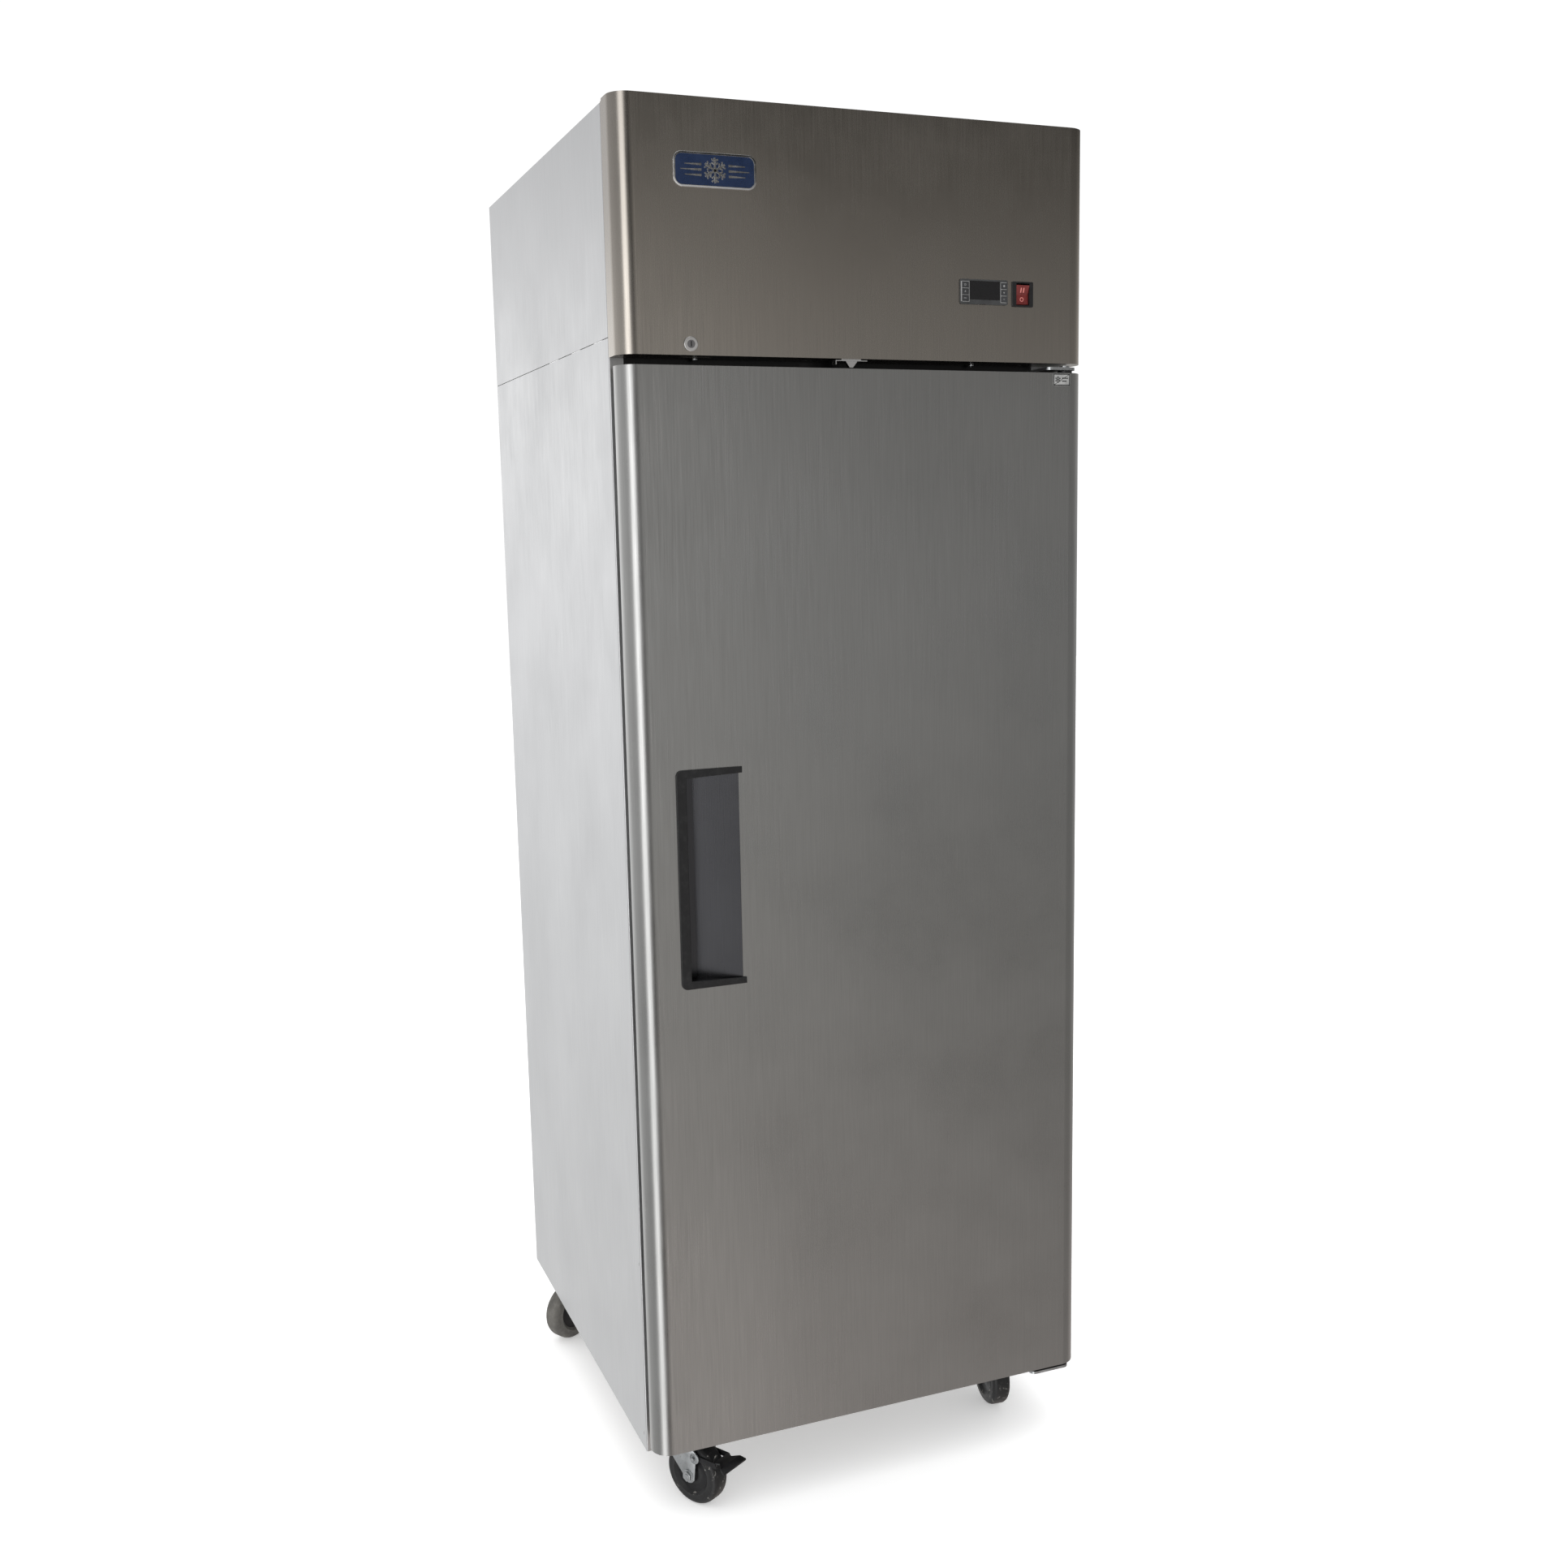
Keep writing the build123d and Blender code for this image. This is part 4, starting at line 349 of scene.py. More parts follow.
def start_round(name, centre, radius, depth, axis, sides):
    """A cylinder about a line along Y or Z."""
    turn = {"Y": (pi / 2, 0, 0), "Z": (0, 0, 0)}[axis]
    bpy.ops.object.select_all(action="DESELECT")
    bpy.ops.mesh.primitive_cylinder_add(
        vertices=sides, radius=radius, depth=depth, location=centre, rotation=turn
    )
    piece = bpy.context.object
    piece.name = piece.data.name = name
    return settle(piece)


def extrude(y=0.0, z=0.0):
    bpy.ops.mesh.extrude_region_move(TRANSFORM_OT_translate={"value": (0, y, z)})


def round_corners(piece, radius, segments):
    """Rounds the edges that run along Y."""
    with editing(piece):
        pick(piece, lambda a, b: (b - a).xz.length < 0.0001 * MM, "EDGE")
        bpy.ops.mesh.bevel(offset=radius, segments=segments, affect="EDGES")


def round_rim(piece, test, radius, segments):
    """Rounds the edges of the faces that test accepts, where they meet other faces."""
    with editing(piece):
        pick(piece, test)
        bpy.ops.mesh.region_to_loop()
        bpy.ops.mesh.bevel(offset=radius, segments=segments, affect="EDGES")


def inset(piece, test, *steps, **settings):
    """Insets the faces that test accepts by a width and a depth at each step."""
    with editing(piece):
        pick(piece, test)
        for width, depth in steps:
            bpy.ops.mesh.inset(thickness=width, depth=depth, **settings)


def hollow(piece, width, centre):
    """Opens a plate along Y, leaving a ring of that width about centre."""
    inset(piece, ENDS, (width, 0), use_individual=True)
    with editing(piece):
        near = 0.1 * MM
        pick(
            piece,
            lambda c, n: ENDS(c, n) and abs(c.x - centre.x) < near and abs(c.z - centre.z) < near,
        )
        bpy.ops.mesh.bridge_edge_loops()


def swing(piece, angle, centre):
    """Turns a piece's mesh about the line along Y through centre."""
    with editing(piece, "SELECT"):
        bpy.ops.transform.rotate(value=angle, orient_axis="Y", center_override=centre)


def trim(piece, point, normal, fill=True):
    """Cuts away what lies on the side that the normal points to."""
    with editing(piece, "SELECT"):
        bpy.ops.mesh.bisect(
            plane_co=point, plane_no=normal, use_fill=fill, clear_outer=True, clear_inner=False
        )


def modified(piece, kind, **settings):
    """Adds a modifier to a piece and applies it."""
    only(piece)
    modifier = piece.modifiers.new(kind.lower(), kind)
    for key, value in settings.items():
        setattr(modifier, key, value)
    bpy.ops.object.modifier_apply(modifier=modifier.name)


def ease(piece, width, segments=2, angle=radians(30)):
    """Small bevel on every sharp edge, applied."""
    shape = {"width": width, "segments": segments}
    modified(piece, "BEVEL", limit_method="ANGLE", angle_limit=angle, **shape)


def merge(name, *pieces):
    """Joins pieces into the last one."""
    only(*pieces)
    if len(pieces) > 1:
        bpy.ops.object.join()
    piece = bpy.context.object
    piece.name = piece.data.name = name
    return piece


def twin(piece, name, place):
    """A copy with its own mesh, moved and turned by a matrix."""
    only(piece)
    bpy.ops.object.duplicate(linked=False)
    copy = bpy.context.object
    copy.name = copy.data.name = name
    copy.matrix_world = place
    return settle(copy)


def paint(piece, *finishes):
    """Gives the piece its finishes; each later one goes to the faces that its test accepts."""
    piece.data.materials.clear()
    for index, entry in enumerate(finishes):
        finish, test = entry if isinstance(entry, tuple) else (entry, None)
        piece.data.materials.append(bpy.data.materials[finish])
        if test:
            for face in piece.data.polygons:
                if test(face.center, face.normal):
                    face.material_index = index


def fit(piece, body, slot, *replaced):
    """Smooths a finished piece and lets it ride on its body."""
    only(piece)
    bpy.ops.object.shade_smooth_by_angle(angle=SMOOTH_ANGLE)
    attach(piece, body)
    if replaced:
        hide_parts(*replaced)


def middle_of(node):
    low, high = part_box(node)
    return (low + high) / 2


def islands(node):
    """(low, high) box of each separate solid in a CAD node."""
    mesh = bmesh.new()
    mesh.from_mesh(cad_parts[node].data)
    bmesh.ops.remove_doubles(mesh, verts=mesh.verts, dist=1e-6)
    left = set(mesh.verts)
    found = []
    while left:
        stack = [left.pop()]
        group = []
        while stack:
            vertex = stack.pop()
            group.append(vertex.co.copy())
            for edge in vertex.link_edges:
                other = edge.other_vert(vertex)
                if other in left:
                    left.remove(other)
                    stack.append(other)
        found.append((Vector(map(min, zip(*group))), Vector(map(max, zip(*group)))))
    mesh.free()
    return sorted(found, key=lambda pair: tuple(pair[0]))


def snowflake(centre, radius, width, depth):
    """Six-armed crystal lying on an upright face at centre and standing out towards -Y."""
    x, y, z = centre
    parts = [start_block("arm", (x - width / 2, y - depth, z), (x + width / 2, y, z + radius))]
    for side in (-1, 1):
        for reach in (0.45, 0.72):
            base = z + radius * reach
            barb = start_block(
                "barb",
                (x - width * 0.4, y - depth * 0.9, base),
                (x + width * 0.4, y, base + radius * 0.34),
            )
            swing(barb, side * radians(60), (x, y, base))
            parts.append(barb)
    flake = merge("flake", *parts)
    with editing(flake, "SELECT"):
        bpy.ops.mesh.spin(steps=5, angle=radians(300), dupli=True, center=centre, axis=(0, 1, 0))
    return flake


# ---- Settings ---------------------------------------------------------------------------------
def metres(title, about, default, **limits):
    return FloatProperty(
        name=title, description=about, default=default, unit="LENGTH", precision=4, **limits
    )


def tone(title, about, default):
    return FloatVectorProperty(
        name=title, description=about, default=default, subtype="COLOR", size=3, min=0, max=1
    )


class CabinetTones(bpy.types.PropertyGroup):
    """Colours of the finishes."""

    front_steel: tone("Door steel", "Brushed steel of the door", (0.5, 0.5, 0.49))
    header_steel: tone("Header steel", "Brushed steel of the header", (0.48, 0.445, 0.4))
    # painted shade: the recess steel is darkened to stand for the shade inside the handle's recess
    recess_painted_shade_steel: tone("Recess steel", "Shaded steel of the handle's recess", (0.09, 0.09, 0.096))
    side_steel: tone("Side steel", "Satin sheet of the cabinet sides", (0.74, 0.745, 0.75))
    zinc: tone("Zinc plate", "Forks, brackets and plates", (0.66, 0.68, 0.69))
    badge_blue: tone("Badge blue", "Enamel of the header badge", (0.003, 0.014, 0.05))
    rocker_red: tone("Rocker red", "Tinted rocker of the switch", (0.13, 0.013, 0.012))
    black_plastic: tone("Black plastic", "Handle trim, pedals and bezels", (0.008, 0.008, 0.009))
    tyre: tone("Tyre", "Rubber of the caster wheels", (0.012, 0.012, 0.0125))


class CabinetSizes(bpy.types.PropertyGroup):
    """Sizes of the fine pieces."""

    badge_corner: metres("Badge corner", "Corner radius of the badge", 0.012, min=0.001, max=0.02)
    badge_rim: metres("Badge rim", "Width of the bright rim", 0.0022, min=0.0005, max=0.006)
    flake_radius: metres("Crystal", "Radius of the badge's crystal", 0.0165, min=0.005, max=0.02)
    label_border: metres("Label border", "Width of the label's ink line", 0.0016, min=0.0003)
    tyre_shoulder: metres("Tyre shoulder", "Radius of a tyre's shoulders", 0.009, min=0.002)
    screw_recess: metres("Screw recess", "Depth of a screw's cross", 0.0012, min=0.0003)
    rivet_radius: metres("Rivet", "Radius of the side panel's rivets", 0.0024, min=0.001)
    wheel_sides: IntProperty(name="Wheel sides", description="Sides of a wheel", default=72)


class StudioSettings(bpy.types.PropertyGroup):
    """Light, floor and camera."""

    floor_half: metres("Floor", "Half the floor's width", 14.0, min=3.0)
    floor_tone: tone("Floor tone", "Pale floor", (0.86, 0.86, 0.86))
    overhead: FloatProperty(name="Overhead", description="Strength of the sun", default=0.6)
    softness: FloatProperty(
        name="Softness", description="Angle the sun spans", default=1.2, subtype="ANGLE"
    )
    lens: FloatProperty(name="Lens", description="Focal length in mm", default=37.23)


# ---- Operators: the object ---------------------------------------------------------------------
class Dress:
    """What every operator shares."""

    bl_options = {"REGISTER", "UNDO"}

    def sizes(self, context):
        return context.scene.cabinet_sizes


class CABINET_OT_finishes(Dress, bpy.types.Operator):
    """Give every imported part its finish."""

    bl_idname = "cabinet.finishes"
    bl_label = "Finishes"

    # ---- nodes whose finish is a variation on their slot's; those of the face frame, handle pan and lock plug are darkened, painted shade ----
    VARIED = {
        "header_panel": "header_steel",
        "handle_pan": "recess_painted_shade_steel",
        "lock_plug": "plug_painted_shade_plate",
        "face_frame": "frame_painted_shade_steel",
        "side_panel_left": "side_steel",
        "side_panel_right": "side_steel",
        "machine_side_panels": "side_steel",
        "inner_liner": "liner_steel",
        "door_inner_panel": "liner_steel",
    }

    def execute(self, context):
        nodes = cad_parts
        slots = {name: nodes[name].data.materials[0].name.split(".")[0] for name in nodes}
        for material in bpy.data.materials:
            material.name = "packed_" + material.name
        make_finishes(context.scene.cabinet_tones)
        for name, node in nodes.items():
            finish = bpy.data.materials[self.VARIED.get(name, slots[name])]
            for index in range(len(node.data.materials)):
                node.data.materials[index] = finish
        return {"FINISHED"}


class CABINET_OT_badge(Dress, bpy.types.Operator):
    """Name plate of the header: bright rim, sunk enamel, crystal and six tapered bars."""

    bl_idname = "cabinet.badge"
    bl_label = "Header badge"

    SINK = 0.5 * MM
    BAR_HALF = 1.6 * MM
    BAR_PITCH = 7 * MM
    ROOT_GAP = 3 * MM  # from the crystal to the bars
    TIP_GAP = 10 * MM  # from the middle bars to the badge's end
    TIP_STEP = 6 * MM  # how much sooner the upper and lower bars end

    def execute(self, context):
        sizes = self.sizes(context)
        low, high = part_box("header_badge")
        plate = start_block("badge_plate", low, high)
        round_corners(plate, sizes.badge_corner, 10)
        round_rim(plate, FRONT, 0.5 * MM, 3)
        inset(plate, FRONT, (sizes.badge_rim, 0), (0.3 * MM, -self.SINK))
        sunk = low.y + self.SINK
        within = 0.05 * MM
        paint(
            plate,
            "chromed",
            ("badge_enamel", lambda c, n: FRONT(c, n) and abs(c.y - sunk) < within),
        )
        fit(plate, "header", "badge_enamel", "header_badge")
        middle = (low + high) / 2
        radius = sizes.flake_radius
        flake = snowflake((middle.x, sunk, middle.z), radius, radius * 0.17, 0.45 * MM)
        ease(flake, 0.12 * MM, 1)
        bars = []
        for side in (-1, 1):
            root = middle.x + side * (radius + self.ROOT_GAP)
            tip = middle.x + side * ((high.x - low.x) / 2 - self.TIP_GAP)
            for row in (-1, 0, 1):
                z = middle.z + row * self.BAR_PITCH
                reach = tip - side * abs(row) * self.TIP_STEP
                first, last = sorted((root, reach))
                bar = start_block(
                    "bar",
                    (first, sunk - 0.4 * MM, z - self.BAR_HALF),
                    (last, sunk, z + self.BAR_HALF),
                )
                with editing(bar):
                    pick(bar, facing("X", side))
                    bpy.ops.transform.resize(value=(1, 1, 0.3), center_override=(reach, sunk, z))
                bars.append(bar)
        mark = merge("badge_mark", *bars, flake)
        paint(mark, "chromed")
        fit(mark, "header", "chromed")
        return {"FINISHED"}


class CABINET_OT_door_label(Dress, bpy.types.Operator):
    """Small film label at the door's top corner, with an ink frame, a crystal and two bars."""

    bl_idname = "cabinet.door_label"
    bl_label = "Door label"

    EDGE = 0.25 * MM
    INK = 0.06 * MM
    FLAKE_X = -6.5 * MM
    BARS_X = 0.5 * MM
    BAR_HALF = 0.8 * MM
    BARS = ((2.2 * MM, 10.5 * MM), (-2.2 * MM, 8 * MM))  # height and length

    def execute(self, context):
        border = self.sizes(context).label_border
        low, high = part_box("door_label")
        middle = (low + high) / 2
        film = start_block("label_film", low, high)
        round_corners(film, 1.2 * MM, 5)
        inset(film, FRONT, (self.EDGE, 0), (border, 0))
        outer = (high - low) / 2 - Vector((self.EDGE, 0, self.EDGE))
        inner = outer - Vector((border, 0, border))

        def in_frame(c, n):
            off_x, off_z = abs(c.x - middle.x), abs(c.z - middle.z)
            ring = off_x > inner.x * 0.98 or off_z > inner.z * 0.98
            return FRONT(c, n) and ring and off_x < outer.x and off_z < outer.z

        paint(film, "label_film", ("label_ink", in_frame))
        fit(film, "door", "label_film", "door_label")
        y = low.y
        flake = snowflake((middle.x + self.FLAKE_X, y, middle.z), 5 * MM, self.BAR_HALF, self.INK)
        bars = []
        x = middle.x + self.BARS_X
        for height, reach in self.BARS:
            z = middle.z + height
            bar = start_block(
                "bar", (x, y - self.INK, z - self.BAR_HALF), (x + reach, y, z + self.BAR_HALF)
            )
            round_corners(bar, 0.6 * MM, 3)
            bars.append(bar)
        print_mark = merge("label_mark", *bars, flake)
        paint(print_mark, "label_ink")
        fit(print_mark, "door", "label_film")
        return {"FINISHED"}


class CABINET_OT_controller(Dress, bpy.types.Operator):
    """Controller front: moulded ridges round the keys, glossy window and six marked keys."""

    bl_idname = "cabinet.controller"
    bl_label = "Controller"

    COLUMNS = ("left", "right")
    ROWS = ("lower", "middle", "upper")
    RIDGE_HALF = 0.4 * MM
    RIDGE_PROUD = 0.35 * MM
    RIDGE_GAP = 1 * MM  # from the window to the ridge beside it
    RIB = 1.9 * MM
    RIB_PROUD = 0.6 * MM
    RIB_MARGIN = 3.5 * MM
    MARK_HALF = 0.08 * MM

    def ridges(self):
        """Pale ridges that box the keys in, and a brighter rib down the left end."""
        low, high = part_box("controller_case")
        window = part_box("controller_display")
        rows = [round(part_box(f"key_left_{row}")[0].z, 5) for row in self.ROWS]
        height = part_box("key_left_lower")[1].z - rows[0]
        gap = (rows[1] - rows[0] - height) / 2
        levels = [rows[0] - gap] + [z + height + gap for z in rows]
        half = self.RIDGE_HALF
        bars = []
        for end, column in enumerate(self.COLUMNS):
            upright = window[end].x + (2 * end - 1) * self.RIDGE_GAP
            first, last = sorted((upright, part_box(f"key_{column}_lower")[end].x))
            bars += [(first, last, z - half, z + half, self.RIDGE_PROUD) for z in levels]
            bottom, top = levels[0] - half, levels[-1] + half
            bars.append((upright - half, upright + half, bottom, top, self.RIDGE_PROUD))
        rib = low.x + 0.5 * MM
        bottom, top = low.z + self.RIB_MARGIN, high.z - self.RIB_MARGIN
        bars.append((rib, rib + self.RIB, bottom, top, self.RIB_PROUD))
        parts = []
        for x0, x1, z0, z1, proud in bars:
            parts.append(start_block("ridge", (x0, low.y - proud, z0), (x1, low.y, z1)))
            ease(parts[-1], 0.15 * MM)
        lines = merge("controller_ridges", *parts)
        paint(lines, "pale_plastic")
        fit(lines, "header", "grey_plastic")

    def window(self):
        glass = start_block("display_glass", *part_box("controller_display"))
        round_corners(glass, 0.8 * MM, 3)
        inset(glass, FRONT, (0.5 * MM, 0), (0.15 * MM, -0.2 * MM))
        paint(glass, "display_window")
        fit(glass, "header", "display_window", "controller_display")

    def mark(self, name, column, row, centre):
        """One of six plain signs: two arrows, two bars, a ring and a dot."""
        left = column == "left"
        depth = 2 * self.MARK_HALF
        if row == "middle":
            part = start_round(name, centre, 1.6 * MM, depth, "Y", 3)
            swing(part, 0 if left else pi, centre)
        elif row == "upper":
            part = start_round(name, centre, 1.5 * MM, depth, "Y", 20)
            if left:
                hollow(part, 0.5 * MM, centre)
        else:
            half = Vector((2.2 * MM if left else 1 * MM, self.MARK_HALF, 0.4 * MM))
            part = start_block(name, centre - half, centre + half)
            round_corners(part, 0.3 * MM, 3)
        return part

    def execute(self, context):
        self.ridges()
        self.window()
        for column in self.COLUMNS:
            for row in self.ROWS:
                name = f"key_{column}_{row}"
                low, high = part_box(name)
                cap = start_block(name + "_cap", low, high)
                round_corners(cap, 0.9 * MM, 4)
                round_rim(cap, FRONT, 0.35 * MM, 3)
                inset(cap, FRONT, (0.35 * MM, 0), (0.1 * MM, -0.12 * MM))
                paint(cap, "key_plastic")
                fit(cap, name, "key_plastic", name)
                centre = (low + high) / 2
                centre.y = low.y + 0.1 * MM
                mark = self.mark(name + "_mark", column, row, centre)
                paint(mark, "pale_plastic")
                fit(mark, name, "key_plastic")
        return {"FINISHED"}


class CABINET_OT_rocker(Dress, bpy.types.Operator):
    """Marks moulded on the two faces of the rocker: two bars and a ring."""

    bl_idname = "cabinet.rocker"
    bl_label = "Rocker marks"

    OFF = 6.5 * MM  # from the rocker's middle to a mark's
    BAR_X = 2.2 * MM
    BAR_HALF = Vector((0.9, 0.3, 3.5)) * MM

    def execute(self, context):
        middle = middle_of("switch_rocker")
        marks = []
        for side in (-1, 1):
            centre = middle + Vector((side * self.BAR_X, 0, self.OFF))
            marks.append(start_block("mark", centre - self.BAR_HALF, centre + self.BAR_HALF))
        centre = middle - Vector((0, 0, self.OFF))
        ring = start_round("ring", centre, 3.2 * MM, 0.6 * MM, "Y", 28)
        hollow(ring, 1.1 * MM, centre)
        marks.append(ring)
        for mark in marks:
            self.lay(mark)
        print_mark = merge("rocker_marks", *marks)
        paint(print_mark, "rocker_print")
        fit(print_mark, "switch_rocker", "red_plastic")
        return {"FINISHED"}

    def lay(self, mark):
        """Moves a mark along Y on to the rocker and tilts it with the face under it."""
        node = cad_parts["switch_rocker"]
        centre = sum((v.co for v in mark.data.vertices), Vector()) / len(mark.data.vertices)
        start = Vector((centre.x, centre.y - 50 * MM, centre.z))
        hit, place, normal, _ = node.ray_cast(start, Vector((0, 1, 0)))
        if not hit:
            raise RuntimeError("the mark misses the rocker")
        turn = Vector((0, -1, 0)).rotation_difference(normal).to_matrix().to_4x4()
        seat = Matrix.Translation(place - normal * 0.15 * MM)
        mark.matrix_world = seat @ turn @ Matrix.Translation(-centre)
        settle(mark)


class CABINET_OT_gasket(Dress, bpy.types.Operator):
    """Magnetic door gasket: retaining foot, ribbed bellows and the flat magnet pocket."""

    bl_idname = "cabinet.gasket"
    bl_label = "Door gasket"

    WIDE = 20 * MM
    FOOT = 3 * MM
    NECK = 5 * MM
    FOLD = 2.25 * MM
    SWELL = 1.2 * MM
    MAGNET_Y = 12 * MM

    def execute(self, context):
        low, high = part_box("door_gasket")
        middle = (low + high) / 2
        ring = start_block("gasket_bellows", low, (high.x, low.y + self.FOOT, high.z))
        hollow(ring, self.WIDE, middle)
        with editing(ring):
            pick(ring, facing("Y", 1))
            bpy.ops.mesh.inset(thickness=self.NECK, depth=0)
            for outwards in (True, False, True, False):
                extrude(y=self.FOLD)
                bpy.ops.mesh.inset(thickness=self.SWELL, depth=0, use_outset=outwards)
            extrude(y=0.01 * MM)
        magnet = start_block("magnet", (low.x, low.y + self.MAGNET_Y, low.z), high)
        hollow(magnet, self.WIDE, middle)
        ease(magnet, 0.9 * MM, 3)
        gasket = merge("gasket_seal", magnet, ring)
        paint(gasket, "gasket_vinyl")
        fit(gasket, "door", "gasket_vinyl", "door_gasket")
        return {"FINISHED"}


class CABINET_OT_fasteners(Dress, bpy.types.Operator):
    """Cross-recessed screws in every screw's place, and rivets low on the side panels."""

    bl_idname = "cabinet.fasteners"
    bl_label = "Screws and rivets"

    HEAD_R = 4 * MM
    HEAD = 2.5 * MM
    SHANK_R = 2 * MM
    SHANK = 6 * MM
    SEAT_UPRIGHT = 2.2 * MM  # from an upright screw's lower end to its seat
    SPIN = radians(37)  # how much further each cross is turned
    RIVETS = ((14 * MM, 24 * MM), (9 * MM, 300 * MM))  # in from the front edge and up

    def one_screw(self, recess):
        """Pan-head screw on the Z axis, its seat at the origin and its head upwards."""
        head_r, head = self.HEAD_R, self.HEAD
        screw = start_round("screw", (0, 0, head / 2), head_r, head, "Z", 32)
        round_rim(screw, TOP, head * 0.55, 4)
        with editing(screw):
            pick(screw, UNDER)
            bpy.ops.mesh.inset(thickness=head_r - self.SHANK_R, depth=0)
            extrude(z=-self.SHANK)
        for turn in (0, pi / 2):
            bar = start_block(
                "bar",
                (-head_r * 0.55, -head_r * 0.12, head - recess),
                (head_r * 0.55, head_r * 0.12, head + 1 * MM),
            )
            bar.matrix_world = Matrix.Rotation(turn, 4, "Z")
            settle(bar)
            modified(screw, "BOOLEAN", operation="DIFFERENCE", solver="EXACT", object=bar)
            bpy.data.objects.remove(bar)
        return screw

    def screws(self, recess):
        master = self.one_screw(recess)
        placed = []
        for low, high in islands("cabinet_screws"):
            seat = (low + high) / 2
            if high.z - low.z > high.y - low.y:
                seat.z = low.z + self.SEAT_UPRIGHT
                way = Vector((0, 0, -1))
            elif low.y < 0:
                seat.y = low.y + self.HEAD
                way = Vector((0, -1, 0))
            else:
                seat.y = high.y - self.HEAD
                way = Vector((0, 1, 0))
            turn = Vector((0, 0, 1)).rotation_difference(way).to_matrix().to_4x4()
            spin = Matrix.Rotation(self.SPIN * len(placed), 4, "Z")
            place = Matrix.Translation(seat) @ turn @ spin
            placed.append(twin(master, f"screw_{len(placed)}", place))
        bpy.data.objects.remove(master)
        screws = merge("cross_head_screws", *placed)
        paint(screws, "galvanised")
        fit(screws, "cabinet", "chromed", "cabinet_screws")

    def rivets(self, radius):
        head = start_round("rivet", (0, 0, 0.35 * MM), radius, 0.7 * MM, "Z", 24)
        round_rim(head, TOP, 0.5 * MM, 3)
        inset(head, TOP, (radius * 0.35, -0.15 * MM))
        placed = []
        for side, node in ((-1, "side_panel_left"), (1, "side_panel_right")):
            low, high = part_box(node)
            face = low.x if side < 0 else high.x
            turn = Matrix.Rotation(side * pi / 2, 4, "Y")
            for y, z in self.RIVETS:
                seat = Matrix.Translation((face, low.y + y, low.z + z))
                placed.append(twin(head, f"rivet_{len(placed)}", seat @ turn))
        bpy.data.objects.remove(head)
        rivets = merge("side_rivets", *placed)
        paint(rivets, "side_steel")
        fit(rivets, "cabinet", "stainless")

    def execute(self, context):
        sizes = self.sizes(context)
        self.screws(sizes.screw_recess)
        self.rivets(sizes.rivet_radius)
        return {"FINISHED"}


